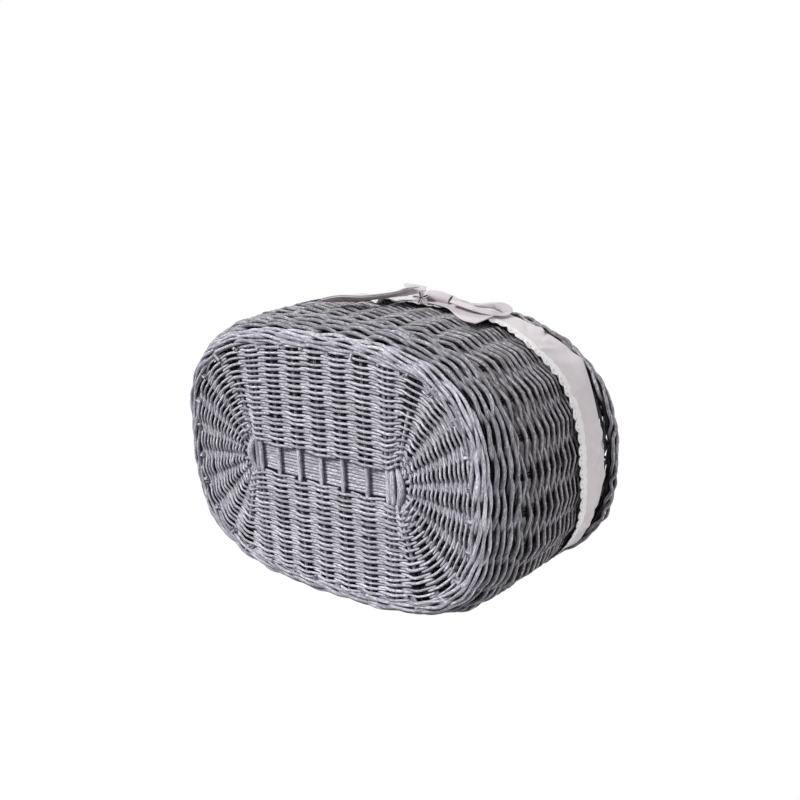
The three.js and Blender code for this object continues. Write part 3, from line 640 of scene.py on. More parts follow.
def brushed_paint_and_light_group():
    """Grey paint brushed thin along rods: streaks that run along each rod; near-black painted shadow on the
    backs of rods and in recesses, where the brush also missed the willow; a lighter coat on the raised faces
    that is partly a painted highlight; and a tone of its own for each rod."""
    nodes, given, result = group_tree("Brushed paint and painted light", ("Paint", "Skim", "Bare"), ("Roughness", "Height"))
    strand = nodes.attribute("strand").outputs["Vector"]
    tone = nodes.attribute("tone").outputs["Fac"]
    coat_and_light = nodes.attribute("coat_and_light").outputs["Fac"]
    streak = nodes.noise(strand, (0.05, 0.9, 0.9), detail=3.0, roughness=0.6)
    fleck = nodes.noise(strand, (0.28, 1.4, 1.4), detail=4.0, roughness=0.65)
    patch = nodes.noise(strand, (0.018, 0.05, 0.05), detail=1.0, roughness=0.5)
    # Paint gives way to near-black painted shadow on the backs of rods and in recesses, and partly where the
    # brush missed
    covered_and_lit = nodes.weighted((coat_and_light, 0.9), (streak, 1.0), (fleck, 0.5))
    paint = nodes.mix(nodes.ramp(covered_and_lit, 0.8, 1.25), given["Bare"], given["Paint"])
    # Lighter coat on raised, outward faces: partly dry-brushed paint, partly a painted highlight
    skim_and_highlight = nodes.math("MULTIPLY", nodes.ramp(fleck, 0.43, 0.58), nodes.ramp(coat_and_light, 0.4, 0.9))
    skim_and_highlight = nodes.math("MULTIPLY", skim_and_highlight, nodes.ramp(streak, 0.36, 0.55))
    coat_with_highlight = nodes.mix(skim_and_highlight, paint, given["Skim"])
    level = nodes.weighted((tone, 0.34), (patch, 0.5), start=0.58)
    toned = nodes.add("ShaderNodeVectorMath", {"operation": "SCALE"}, Vector=coat_with_highlight, Scale=level)
    nodes.put(result["Color"], toned.outputs[0])
    nodes.put(result["Roughness"], nodes.ramp(streak, 0.3, 0.7, to_low=0.55, to_high=0.85))
    nodes.put(result["Height"], nodes.weighted((fleck, 0.6), start=streak))
    return nodes.tree


def cotton_cloth_group():
    """Plain woven cotton: two crossing thread waves on the cloth, soft slubs and faint mottling."""
    nodes, given, result = group_tree("Cotton weave", ("Cloth", "Shade"), ("Height",))
    uv = nodes.cloth_place()
    place = nodes.add("ShaderNodeTexCoord").outputs["Object"]
    apart = nodes.add("ShaderNodeSeparateXYZ", Vector=nodes.scaled(uv, (7.0, 7.0, 1.0)))
    threads = nodes.math("MULTIPLY", *(nodes.math("SINE", apart.outputs[axis]) for axis in (0, 1)))
    slub = nodes.noise(uv, (0.25, 1.1, 1.0), detail=3.0, roughness=0.6)
    mottle = nodes.noise(place, (55.0, 55.0, 55.0), detail=3.0, roughness=0.55)
    share = nodes.weighted((threads, 0.08), (slub, 0.35), (mottle, 0.65))
    nodes.put(result["Color"], nodes.mix(nodes.ramp(share, 0.25, 0.8), given["Shade"], given["Cloth"]))
    nodes.put(result["Height"], nodes.weighted((threads, 0.5), (slub, 0.6)))
    return nodes.tree


def surface_material(name, **plain):
    """New material, its node helper and its Principled shader with plain values set on it."""
    material = bpy.data.materials.new(name)
    material.use_nodes = True
    shader = material.node_tree.nodes["Principled BSDF"]
    for socket, value in plain.items():
        shader.inputs[socket.replace("_", " ")].default_value = value
    return material, Nodes(material.node_tree), shader


def dress(nodes, shader, group, strength, depth, **colours):
    """Colour and relief of a shader from a finish's node group, and roughness where the group has it."""
    finish = nodes.add("ShaderNodeGroup", {"node_tree": group}, **colours)
    height = finish.outputs["Height"]
    bump = nodes.add("ShaderNodeBump", Strength=strength, Distance=depth * MM, Height=height)
    nodes.put(shader.inputs["Base Color"], finish.outputs["Color"])
    nodes.put(shader.inputs["Normal"], bump.outputs[0])
    if "Roughness" in finish.outputs:
        nodes.put(shader.inputs["Roughness"], finish.outputs["Roughness"])


def willow_material(name, paint, skim_and_highlight, painted_shadow):
    """Dry-brushed willow, with painted shadow on the backs of rods and in recesses, and a painted highlight
    on raised faces.
    """
    material, nodes, shader = surface_material(name, Specular_IOR_Level=0.3)
    dress(nodes, shader, BRUSHED_AND_LIT, strength=0.5, depth=0.6, Paint=paint, Skim=skim_and_highlight, Bare=painted_shadow)
    return material


def cotton_material(name, cloth, shade):
    """Matt cotton with a little sheen."""
    material, nodes, shader = surface_material(name, Sheen_Weight=0.12, **MATT)
    dress(nodes, shader, COTTON_WEAVE, strength=0.25, depth=0.4, Cloth=cloth, Shade=shade)
    return material


def lace_material(name, cloth, shade):
    """White cotton lace with a row of small eyelets, open by Alpha, at even places along the strip.

    Alpha = smooth step of sqrt(along^2 + across^2), the distance from the nearest eyelet's middle.
    """
    material, nodes, shader = surface_material(name, **MATT)
    dress(nodes, shader, COTTON_WEAVE, strength=0.6, depth=0.6, Cloth=cloth, Shade=shade)
    pitch = SCALLOP_LENGTH / 2
    apart = nodes.add("ShaderNodeSeparateXYZ", Vector=nodes.cloth_place())
    along = nodes.math("FRACT", nodes.math("DIVIDE", apart.outputs[0], pitch))
    along = nodes.math("MULTIPLY", nodes.math("SUBTRACT", along, 0.5), pitch)
    across = nodes.math("SUBTRACT", apart.outputs[1], LACE_SEAM + LACE_HEIGHT / 2)
    square = nodes.weighted((along, along), (across, across))
    nodes.put(shader.inputs["Alpha"], nodes.ramp(nodes.math("SQRT", square), 0.55, 0.85))
    return material


BRUSHED_AND_LIT = brushed_paint_and_light_group()
COTTON_WEAVE = cotton_cloth_group()
MATT = {"Roughness": 0.95, "Specular_IOR_Level": 0.15}

# Finishes: a material and a slot name
# Each willow: paint colour, a lighter coat that is partly a painted highlight, and a near-black painted
# shadow
GREY = willow_material("Grey willow", colour(163, 163, 176), colour(248, 245, 252), colour(7, 6, 10))
# Darker copy of the grey willow for the upsett: painted shade
FOOT_GREY = willow_material("Foot willow", colour(120, 119, 128), colour(204, 203, 210), colour(7, 6, 8))
# Darker copy of the grey willow for the wall, stakes and lids: partly thinner paint, partly painted shade
SHADED_GREY = willow_material("Shaded willow", colour(110, 106, 112), colour(196, 193, 200), colour(6, 6, 7))
WILLOW = (GREY, "willow")
FOOT_WILLOW = (FOOT_GREY, "willow")
DARK_WILLOW = (SHADED_GREY, "dark_willow")
COTTON = (cotton_material("Lilac cotton", colour(218, 211, 215), colour(206, 199, 203)), "cotton")
LACE = (lace_material("White lace", colour(253, 251, 252), colour(244, 241, 243)), "lace")

# Base

PLATE = (BASE_LENGTH / 2 - FOOT_WIDTH, BASE_WIDTH / 2 - FOOT_WIDTH, BASE_SQUARENESS)
OUTER_CROSS = (CROSS_STICK_COLUMNS - 1) / 2 * CROSS_STICK_PITCH
COLUMN_PLACES = np.linspace(-OUTER_CROSS, OUTER_CROSS, CROSS_STICK_COLUMNS)
STAKE_ANGLES = even_angles(wall_size(BASKET_HEIGHT / 2), 2 * STAKES, 0, TURN)[1:-1:2]


def fan_rods():
    """Start in the strip and end on the base's edge of each long rod at its +X end.

    The ends part the arc between the outer cross sticks into equal lengths.
    """
    start_y = (np.arange(LONG_ROD_COUNT) - (LONG_ROD_COUNT - 1) / 2) * LONG_ROD_PITCH
    corner = angle_at_x(OUTER_CROSS, *PLATE)
    tips = even_angles(PLATE, LONG_ROD_COUNT + 1, -corner, corner)[1:-1]
    return np.stack([np.full(LONG_ROD_COUNT, WRAP_START), start_y], -1), oval(tips, *PLATE)


def base_sticks():
    """Inner and outer end and level of each stick that the base's rows cross, in order round the base.

    A row starts at the strip's side, or where a fanned rod leaves an ellipse round the end wrap: the root t
    of |start + t ray|^2 = 1, with start and ray in shares of the ellipse's radii.
    """
    start, tip = fan_rods()
    ray = unit(tip - start)
    radii = np.array([END_WRAP_DEPTH + END_WRAP_RADIUS / 2 + FAN_GAP, END_WRAP_REACH])
    scaled_start = (start - [WRAP_START, 0]) / radii
    scaled_ray = ray / radii
    a = (scaled_ray ** 2).sum(1)
    b = (scaled_start * scaled_ray).sum(1)
    c = (scaled_start ** 2).sum(1) - 1
    leave = (-b + np.sqrt(b * b - a * c)) / a
    fan_inner = start + leave[:, None] * ray
    side_outer = oval(angle_at_x(COLUMN_PLACES, *PLATE), *PLATE)
    side_inner = np.stack([COLUMN_PLACES, np.full(CROSS_STICK_COLUMNS, HALF_STRIP)], -1)
    inner = np.concatenate([fan_inner, side_inner[::-1], -fan_inner, -side_inner[::-1]])
    outer = np.concatenate([tip, side_outer[::-1], -tip, -side_outer[::-1]])
    level = np.repeat([FAN_LEVEL, CROSS_LEVEL], [LONG_ROD_COUNT, CROSS_STICK_COLUMNS])
    return inner, outer, np.tile(level, 2)


def level_swing(f):
    """Fall from 1 to -1 over one space between sticks, level in its middle: c |c|^1.2, c = cos(pi f)."""
    wave = np.cos(np.pi * f)
    return wave * np.abs(wave) ** 1.2


def base_rows():
    """Rows woven round the base: each passes the sticks at an even share of their length, on alternate sides.

    Point = spline through the sticks, and level - swing * sign(row + stick) between them, so that a row
    lies below one stick and above the next. Short rows run only past the cross sticks of one side, so that
    fewer and thinner rows go round the fans.
    """
    rng = np.random.default_rng(11)
    inner, outer, level = base_sticks()
    sticks = len(inner)
    wander = partial(drift, rng, BASE_ROWS, sticks, BASE_STEPS)
    row = np.arange(BASE_ROWS)
    short = np.isin(row % ROW_GROUP, SHORT_ROWS)
    whole = ~short
    fan_place = np.interp(row, row[whole], np.arange(whole.sum()))
    fan_share = ((fan_place + 0.5) / whole.sum())[:, None]
    side_share = ((row + 0.5) / BASE_ROWS)[:, None]
    share = np.where(level > CROSS_LEVEL, fan_share, side_share)
    share = share + rng.normal(0, ROW_JITTER / BASE_ROWS, (BASE_ROWS, sticks))
    flat = spline_round(inner + share[..., None] * (outer - inner), BASE_STEPS)
    height = spline_round(np.broadcast_to(level[:, None], (BASE_ROWS, sticks, 1)), BASE_STEPS)[..., 0]
    sign = (-1.0) ** (row[:, None] + np.arange(sticks))
    over = (sign[..., None] * level_swing(np.arange(BASE_STEPS) / BASE_STEPS)).reshape(BASE_ROWS, -1)
    z = height - BASE_SWING * (1 + wander(SWING_WANDER)) * over + wander(BASE_LEVEL_WANDER)
    paths = np.concatenate([flat, z[..., None]], -1)
    radius = np.interp(height, [CROSS_LEVEL, FAN_LEVEL], [BASE_ROD_RADIUS, FAN_ROD_RADIUS])
    radius = radius * (1 - 0.02 * np.clip(over, 0, 1) + wander(BASE_RADIUS_WANDER))
    radius = radius * rng.uniform(0.9, 1.1, (BASE_ROWS, 1))
    # Rows turn near-black where they dive under a stick: painted shade
    lift = step(over, *BASE_SHADE_EDGE)
    parts = [rods(paths[whole], radius[whole], DOWN, seed=12, lift=lift[whole])]
    first = LONG_ROD_COUNT * BASE_STEPS - BASE_STEPS // 2
    for half in (0, 1):
        cut = first + half * sticks * BASE_STEPS // 2 + np.arange(CROSS_STICK_COLUMNS * BASE_STEPS + 1)
        pick = np.ix_(short, cut)
        parts.append(rods(paths[pick], radius[pick], DOWN, seed=13 + half, closed=False, lift=lift[pick]))
    return merged(parts)


def cross_stick(x, seed):
    """Stick across the base at x, slightly bowed and thinner to its ends, from edge to edge.

    x + random bow * cos(pi y / 2 reach) + random slant * y / reach. Beyond the strip, under the rows, it is
    darkened: painted shade.
    """
    rng = np.random.default_rng(seed)
    reach = oval(angle_at_x(abs(x), *PLATE), *PLATE)[1] - 1
    y = np.linspace(-reach, reach, 60)
    bow = rng.normal(0, 0.5) * np.cos(np.pi * y / reach / 2) + rng.normal(0, 0.4) * y / reach
    path = np.stack([x + bow, y, np.full(len(y), CROSS_LEVEL)], -1)
    radius = CROSS_STICK_RADIUS * (1 - CROSS_STICK_TAPER * (y / reach) ** 2) * rng.uniform(0.95, 1.06)
    # Under the rows, beyond the strip, the stick is darkened: painted shade
    painted = np.where(np.abs(y) > HALF_STRIP + 1, 0.35, 1.0)
    return rods(
        path[None], radius, DOWN, seed, closed=False, sides=10, lift=painted, flat=CROSS_STICK_FLATNESS)


def long_rod(index):
    """Long rod of the strip: straight between the end wraps, then fanned out at the rows' level, where it
    lies under them and is coloured near-black: painted shade.
    """
    start, tip = fan_rods()
    bend = np.array([*start[index], LONG_LEVEL])
    end = np.array([*tip[index], FAN_LEVEL])
    quarter = bend + 0.25 * (end - bend)
    quarter[2] = FAN_LEVEL + 0.4
    right = np.array([bend * [0, 1, 1], bend * [0.5, 1, 1], bend, quarter, end])
    path = spline_open(np.concatenate([right[:0:-1] * [-1, 1, 1], right]), 90)
    path[:, 2] += 0.2 * np.sin(path[:, 0] / 13 + 2.1 * index)
    painted = np.where(np.abs(path[:, 0]) > FAN_SHADE_START, 0.0, 1.0)
    return rods(
        path[None], LONG_ROD_RADIUS, DOWN, seed=40 + index, closed=False, sides=8, lift=painted,
        flat=LONG_ROD_FLATNESS)


def end_wrap(side):
    """Thick flat rod bent round an end of the strip: a bowed spindle, x = start + depth (c - inset) with
    c = cos(0.49 pi y / reach), whose radius falls with c towards its tucked ends."""
    y = np.linspace(-END_WRAP_REACH, END_WRAP_REACH, 30)
    bow = np.cos(np.pi * y / (2 * END_WRAP_REACH) * 0.98)
    x = side * (WRAP_START + END_WRAP_DEPTH * (bow - END_WRAP_INSET))
    path = np.stack([x, y, CROSS_LEVEL + END_WRAP_TUCK * (1 - bow)], -1)
    radius = END_WRAP_RADIUS * (END_WRAP_TIP + (1 - END_WRAP_TIP) * bow)
    return rods(path[None], radius, DOWN, seed=60 + side, closed=False, sides=12, flat=END_WRAP_FLATNESS)


def wale(z, offset, radius, radial, upright, seed, inside, tilt=0.0):
    """One round of three-rod waling: three strands that pass outside two stakes and inside the next.

    Tilt turns its outer side from level, 0, to straight down, a right angle.
    """
    path, outward = ring_frame(z, offset, WALE_TURNS * WALE_STEPS)
    facing = np.cos(tilt) * outward + np.sin(tilt) * DOWN
    return rope(path, facing, 3, WALE_TURNS, radial, upright, radius, seed, wander=0.7, inside=inside)


def stake_butts():
    """Butts of the stakes, in view where they cross the gap between the base's weave and its foot."""
    rng = np.random.default_rng(70)
    along = np.linspace(0, 1, 6)
    angles = STAKE_ANGLES + rng.normal(0, 0.012, STAKES)
    offset = BUTT_OFFSET + rng.normal(0, 1.2, (STAKES, 1)) + BUTT_LENGTH * along
    z = BUTT_LEVEL + rng.normal(0, 0.3, (STAKES, 1)) + BUTT_RISE * along
    paths = wall_point(angles[:, None], z, offset)
    radius = BUTT_RADIUS * rng.uniform(0.85, 1.15, (STAKES, 1))
    return rods(paths, radius, DOWN, seed=70, closed=False, sides=8)


def add_base():
    """Every piece of the base."""
    add_rods("base_weave_rods", base_rows(), WILLOW, "base_weave")
    doubles = np.add.outer([-OUTER_CROSS, OUTER_CROSS], [-DOUBLE_STICK_GAP / 2, DOUBLE_STICK_GAP / 2])
    for index, x in enumerate(np.sort([*COLUMN_PLACES[1:-1], *doubles.ravel()]), 1):
        add_rods(f"cross_stick_{index}", cross_stick(x, 720 + index), WILLOW, f"base_cross_stick_{index}")
    for index in range(LONG_ROD_COUNT):
        add_rods(f"long_rod_{index + 1}", long_rod(index), WILLOW, f"base_long_rod_{index + 1}")
    for name, side in (("left", -1), ("right", 1)):
        add_rods(f"end_wrap_{name}", end_wrap(side), WILLOW, f"base_end_wrap_{name}")
    foot = [
        wale(z, offset, radius=1.8, radial=2.1, upright=1.1, seed=71 + k, inside=inside, tilt=tilt)
        for k, (z, offset, tilt, inside) in enumerate(FOOT_ROUNDS)]
    add_rods("foot_wale_rods", merged([*foot, stake_butts()]), WILLOW, "base_foot_wale")


# Wall


def wall_swing(f):
    """Fall from 1 to -1 over one space between stakes: part straight line, part cosine."""
    return WALL_SHARPNESS * (1 - 2 * f) + (1 - WALL_SHARPNESS) * np.cos(np.pi * f)


def side_rows():
    """Rows woven round the wall: each runs level round the stakes, outside one and inside the next.

    Offset = row offset + swing * sign(row + stake) * fall from stake to stake. The pitch of the rows falls
    from the bottom to the hem of the cuff, and the rows are scaled to fill the wall.
    """
    rng = np.random.default_rng(5)
    wander = partial(drift, rng, WALL_ROWS, STAKES, WALL_STEPS)
    pitch = np.linspace(LOW_ROW_PITCH, PITCH_FALL * LOW_ROW_PITCH, WALL_ROWS)
    pitch = np.maximum(pitch, HIGH_ROW_PITCH)
    pitch = pitch * (WALL_ROWS_TOP - UPSETT_TOP) / pitch.sum()
    heights = UPSETT_TOP + np.cumsum(pitch) - pitch / 2
    f = np.arange(WALL_STEPS) / WALL_STEPS
    stakes = np.arange(STAKES)
    place = (stakes[:, None] + f).ravel()
    angle = np.interp(place, np.arange(STAKES + 1), np.append(STAKE_ANGLES, STAKE_ANGLES[0] + TURN))
    sign = (-1.0) ** (np.arange(WALL_ROWS)[:, None] + stakes)
    over = (sign[..., None] * wall_swing(f)).reshape(WALL_ROWS, -1)
    reach = WALL_SWING * (1 + wander(SWING_WANDER))
    z = heights[:, None] + wander(WALL_LEVEL_WANDER)
    paths = wall_point(angle, z, WALL_ROW_OFFSET + reach * over)
    outward = unit(wall_point(angle, z, 1.0) - wall_point(angle, z, 0.0))
    radius = WALL_ROW_THICKNESS * pitch[:, None] * (1 + wander(WALL_RADIUS_WANDER))
    # Rows turn near-black where they pass inside a stake: painted shade
    return rods(paths, radius, outward, seed=6, lift=step(over, *WALL_SHADE_EDGE))


def stakes_and_border():
    """Pairs of stakes that leave the base, turn up at its edge and run up inside the rows, and the border
    that their tops are laid into. The profile gives offset from the wall and height."""
    turn_up = [(-14.5, 5.0), (-10.0, 4.6), (-5.5, 5.2), (-4.2, 12.0)]
    upright = [(STAKE_OFFSET, z) for z in (26.0, 60.0, 95.0, 130.0, STAKE_TOP)]
    offset, z = spline_open(turn_up + upright, 49).T
    spread = STAKE_RADIUS / wall_size(BASKET_HEIGHT / 2)[0]
    angles = np.concatenate([STAKE_ANGLES - spread, STAKE_ANGLES + spread])
    paths = wall_point(angles[:, None], z, offset)
    # The painted and lit face of the stakes turns outward and down, towards the base
    outward = unit(paths * [1, 1, 0]) + 0.7 * DOWN
    # Stakes behind the rows are darkened: painted shade
    painted = np.where(z > STAKE_SHADE_START, 0.05, 1.0)
    uprights = rods(paths, STAKE_RADIUS, outward, seed=7, closed=False, lift=painted)
    path, outward = ring_frame(BORDER_LEVEL, BORDER_OFFSET, 420)
    border = rope(path, outward, strands=5, turns=16, radial=2.8, upright=3.9, radius=1.9, seed=8)
    return merged([uprights, border])


def upsett():
    """Rounds of thick waling between the foot and the side weave, with slits where strands pass inside."""
    return merged([
        # Strands are near-black on their inner sides, in the slits: painted shade
        wale(z, UPSETT_OFFSET, radius=2.15, radial=3.9, upright=0.9, seed=80 + k, inside=0.2)
        for k, z in enumerate(np.linspace(*UPSETT_LEVELS, UPSETT_ROUNDS))])


def add_wall():
    """Every piece of the wall."""
    add_rods("upsett_wale_rods", upsett(), FOOT_WILLOW, "upsett_wale")
    add_rods("side_weave_rods", side_rows(), DARK_WILLOW, "side_weave")
    add_rods("stake_and_border_rods", stakes_and_border(), DARK_WILLOW, "stakes_and_border")


# Liner


def spread_right(angle):
    """How far the right half of the cuff stands off the wall: most at the upper end in view, and flat where
    the basket lies on its long side."""
    return 3.4 * bell(angle, -0.75, 0.36) + 1.4 * bell(angle, -1.5, 0.16)


def spread_left(angle):
    """How far the left half of the cuff stands off the wall: a little next to the bow, else flat."""
    return 1.4 * bell(angle, 1.5, 0.16)


def cuff_angles(columns):
    """Even angles of the right half of the rim between the notches for the handle's feet."""
    size = wall_size(BASKET_HEIGHT)
    edge = angle_at_x(CUFF_NOTCH, *size)
    return even_angles(size, columns - 1, -edge, edge)


def gathered(angles, share):
    """Angles of the cuff's ends drawn together under the handle's foot, by a share of the gather."""
    by_end = bell(np.abs(angles), np.abs(angles).max(), 0.09)
    return angles + np.sign(angles) * CUFF_GATHER * by_end * share


def hem_lift(along, corners):
    """How far the hem is pushed up the wall at a share of the cuff's length."""
    return np.interp(along, corners[:, 0], corners[:, 2])


def crease_field(rng, along, height):
    """Soft slanted creases: random ridges and grooves, each a bell across a slanted line, fading along it."""
    creases = np.zeros((len(along), len(height)))
    for _ in range(CUFF_CREASES):
        slant = rng.normal(0, 0.0010)
        width = rng.uniform(0.003, 0.010)
        centre = rng.uniform(0, 1) + slant * (height - rng.uniform(140, 172))
        fade = bell(height, rng.uniform(132, 170), rng.uniform(10, 22))
        creases += rng.uniform(-2.0, 2.0) * fade * bell(along[:, None], centre, width)
    return creases


def cuff_surface(seed, corners, spread):
    """Half of the cuff turned over the rim at the +X end: a profile carried round the rim, drawn straight
    between the corners of its top edge, with soft slanted creases.

    Offset = profile + stand-off of the top edge - sagitta of its chords + spread off the wall + creases.
    """
    angles = cuff_angles(241)
    over_rim = [(-13.0, 150.0), (-12.0, 164.0), (-9.5, 172.4), (-4.0, CUFF_TOP - 0.6), (0.2, CUFF_TOP - 2.4)]
    down_wall = [(1.8, 167.0), (2.0, 156.0), (1.6, 143.0), (1.2, HEM_LEVEL)]
    offset, height = spline_open(over_rim + down_wall, 40).T
    along = np.linspace(0, 1, len(angles))
    length = run_length(wall_point(angles, BASKET_HEIGHT, 0))[-1]
    span = np.clip(np.searchsorted(corners[:, 0], along, "right") - 1, 0, len(corners) - 2)
    chord = corners[span + 1, 0] - corners[span, 0]
    f = (along - corners[span, 0]) / chord
    sagitta = f * (1 - f) * (chord * length) ** 2 / (2 * EDGE_BEND)
    edge = np.interp(along, corners[:, 0], corners[:, 1]) - sagitta
    top = bell(height, CUFF_TOP, EDGE_DEPTH) * (offset > -4)
    outside = step(offset, -1, 1)
    creases = crease_field(np.random.default_rng(seed), along, height)
    offset = offset + edge[:, None] * top + (creases + spread(angles)[:, None]) * outside
    z = height + 0.4 * np.minimum(edge, 0)[:, None] * top
    z = z + hem_lift(along, corners)[:, None] * step(height, HEM_LIFT_TOP, HEM_LEVEL) * outside
    drawn = gathered(angles[:, None], step(z, *GATHER_LEVELS))
    surface = wall_point(drawn, np.minimum(z, BASKET_HEIGHT), offset)
    surface[..., 2] = z
    return surface


def lace_surface(seed, corners, spread):
    """Scalloped lace sewn under the cuff's hem: its depth is a row of arches along the hem, ruffled, and most
    so next to the bow."""
    rng = np.random.default_rng(seed)
    angles = cuff_angles(1201)
    run = run_length(wall_point(angles, HEM_LEVEL, 1.6))

    def uneven(places):
        """Random values at even places along the hem, joined by straight lines."""
        return np.interp(run, np.linspace(0, run[-1], places), rng.normal(0, LACE_UNEVENNESS, places))

    arch = np.abs(np.sin(np.pi * run / SCALLOP_LENGTH)) ** 0.7
    depth = LACE_HEIGHT * (0.6 + 0.4 * arch) + uneven(60)
    across = np.linspace(-LACE_SEAM / LACE_HEIGHT, 1, 9)
    by_bow = step(np.abs(angles), *LACE_BY_BOW)
    ruffle = uneven(130) * (1 + 2.5 * by_bow)
    level = HEM_LEVEL + hem_lift(np.linspace(0, 1, len(angles)), corners)
    z = level[:, None] - across * depth[:, None] + (ruffle * by_bow)[::-1, None]
    free = np.clip(across + by_bow[:, None], 0, 1) * np.clip(spread(angles), 0, 1)[:, None]
    wave = ruffle + 0.6 * np.sin(TURN * run / SCALLOP_LENGTH)
    offset = LACE_OFFSET + spread(angles)[:, None] + wave[:, None] * free
    return wall_point(gathered(angles[:, None], 1.0), z, offset)


def bag_surface():
    """Bag inside the basket: from the rim down the wall and across the floor to its middle, with folds.

    Offset = inset from the wall + two waves round the wall that grow downwards. Share is 1 on the wall and
    falls to nearly 0 across the floor.
    """
    wall_rows = 22
    floor_rows = 12
    corner = [22.5, 20.2, 19.4]
    angles = even_angles(wall_size(BASKET_HEIGHT / 2), 256, 0, TURN)[:-1]
    wall_z = np.linspace(BAG_TOP, BAG_WALL_FOOT, wall_rows)
    z = np.concatenate([wall_z, corner, np.full(floor_rows, BAG_FLOOR)])
    share = np.concatenate([np.ones(wall_rows + len(corner)), np.linspace(0.93, 0.004, floor_rows)])
    inset = np.concatenate([np.full(wall_rows, BAG_INSET), [-15.5, -18, -22], np.full(floor_rows, -26)])
    down = step(z, BAG_TOP, BAG_TOP - 150)
    folds = 1.6 * np.sin(23 * angles)[:, None] * down + 0.9 * np.sin(41 * angles + 1)[:, None] * down ** 2
    wall = wall_point(angles[:, None], z, inset + folds * (share == 1))
    return wall * np.stack([share, share, np.ones(len(z))], -1)


def add_liner():
    """Bag, the two halves of the cuff and their lace."""
    add_cloth("liner_bag_cloth", bag_surface(), COTTON, "liner_bag", closed=True)
    halves = (("right", 1, 31, RIGHT_CUFF, spread_right), ("left", HALF_TURN, 32, LEFT_CUFF, spread_left))
    for name, turn, seed, corners, spread in halves:
        piece = f"cuff_{name}_cloth"
        cuff = cuff_surface(seed, corners, spread) * turn
        add_cloth(piece, cuff, COTTON, f"liner_cuff_{name}")
        lace = lace_surface(seed + 10, corners, spread) * turn
        strip = f"lace_{name}_strip"
        add_cloth(strip, lace, LACE, f"cuff_lace_{name}", thickness=LACE_THICKNESS)


# Bow


def ribbon(first_edge, second_edge, samples, columns=9, cup=0.0):
    """Ribbon ruled between two edges, each a spline through its knots, and cupped along its normal.

    Point = (1 - v) first + v second + cup (1 - (2 v - 1)^2) normal.
    """
    first = spline_open(first_edge, samples)
    second = spline_open(second_edge, samples)
    span = second - first
    normal = unit(np.cross(np.gradient(first + second, axis=0), span))
    v = np.linspace(0, 1, columns)[None, :, None]
    return first[:, None] + v * span[:, None] + cup * (1 - (2 * v - 1) ** 2) * normal[:, None]


def out_and_back(edge, returning):
    """Knots of a loop's edge, out along one line and back along another."""
    return np.concatenate([edge, returning[::-1]])


def long_loop():
    """Long loop of the front bow: out along one layer and back along another that lies outside it."""
    low = np.array([
        (28, -155, 145.5), (25, -155, 132), (19.5, -154.5, 125.5), (13.5, -154, 118.5),
        (2, -153, 106.5), (-9.5, -152.5, 91.5), (-27, -152, 79.5), (-43.5, -152, 72)])
    high = np.array([
        (39.5, -161.5, 135), (35.5, -163.5, 122.5), (29, -163, 113), (25, -161, 104),
        (15.5, -160, 89.5), (5, -160, 74), (-16, -160.5, 64), (-35.5, -156.5, 62)])
    return ribbon(out_and_back(low, low + LAYER_STEP), out_and_back(high, high + LAYER_STEP), 120)


def short_loop():
    """Short loop of the front bow, which stands open.

    Both of its layers start from a line inside it, half way between their open edges and OPEN_DEPTH behind.
    """
    front_low = np.array([
        (80, -153.5, 117), (95, -151, 115), (106, -148.5, 115),
        (117.5, -144.5, 121.5), (123, -142, 130.5), (125.5, -139, 149)])
    front_high = np.array([
        (78, -155, 124), (90, -152.5, 128.5), (106.5, -150, 123),
        (118, -146.5, 130), (121.5, -144, 138), (122, -140.5, 149.5)])
    back_low = np.array([
        (77, -155.5, 126), (89.5, -153, 129.5), (104.5, -151, 126.5),
        (111.5, -149.5, 145.5), (116, -145.5, 149), (121, -140.5, 152)])
    back_high = np.array([
        (76, -156.5, 130), (91, -154, 128.5), (102.5, -152, 129),
        (109.5, -149.5, 154), (112.5, -146.5, 168), (121.5, -141, 167.5)])
    inside = (front_high + back_low) / 2 + OPEN_DEPTH
    open_edge = out_and_back(front_high, back_low)
    inner_part = ribbon(out_and_back(inside, inside), open_edge, 120, columns=5)
    outer_part = ribbon(open_edge, out_and_back(front_low, back_high), 120)
    return np.concatenate([inner_part[:, :-1], outer_part], 1)


def wide_tail():
    """Wide tail of the front bow, cupped over the lace."""
    high = [
        (46, -153.5, 127), (62, -151.5, 127.5), (86, -148, 128.5), (107.5, -145, 129), (122.5, -142.5, 130.5)]
    low = [
        (50, -152, 118), (64, -150, 117.5), (79, -147.8, 115.5),
        (101, -144.4, 98.5), (114, -142.5, 92.5), (122.5, -140.5, 96)]
    return ribbon(high, low, 60, cup=0.8)


def short_tail():
    """Short tail of the front bow, on the other side of the knot."""
    high = [(42, -164, 132), (28, -165.5, 131), (16, -166, 129)]
    low = [(46, -161, 125), (36, -162.5, 121), (26, -163, 118)]
    return ribbon(high, low, 30)


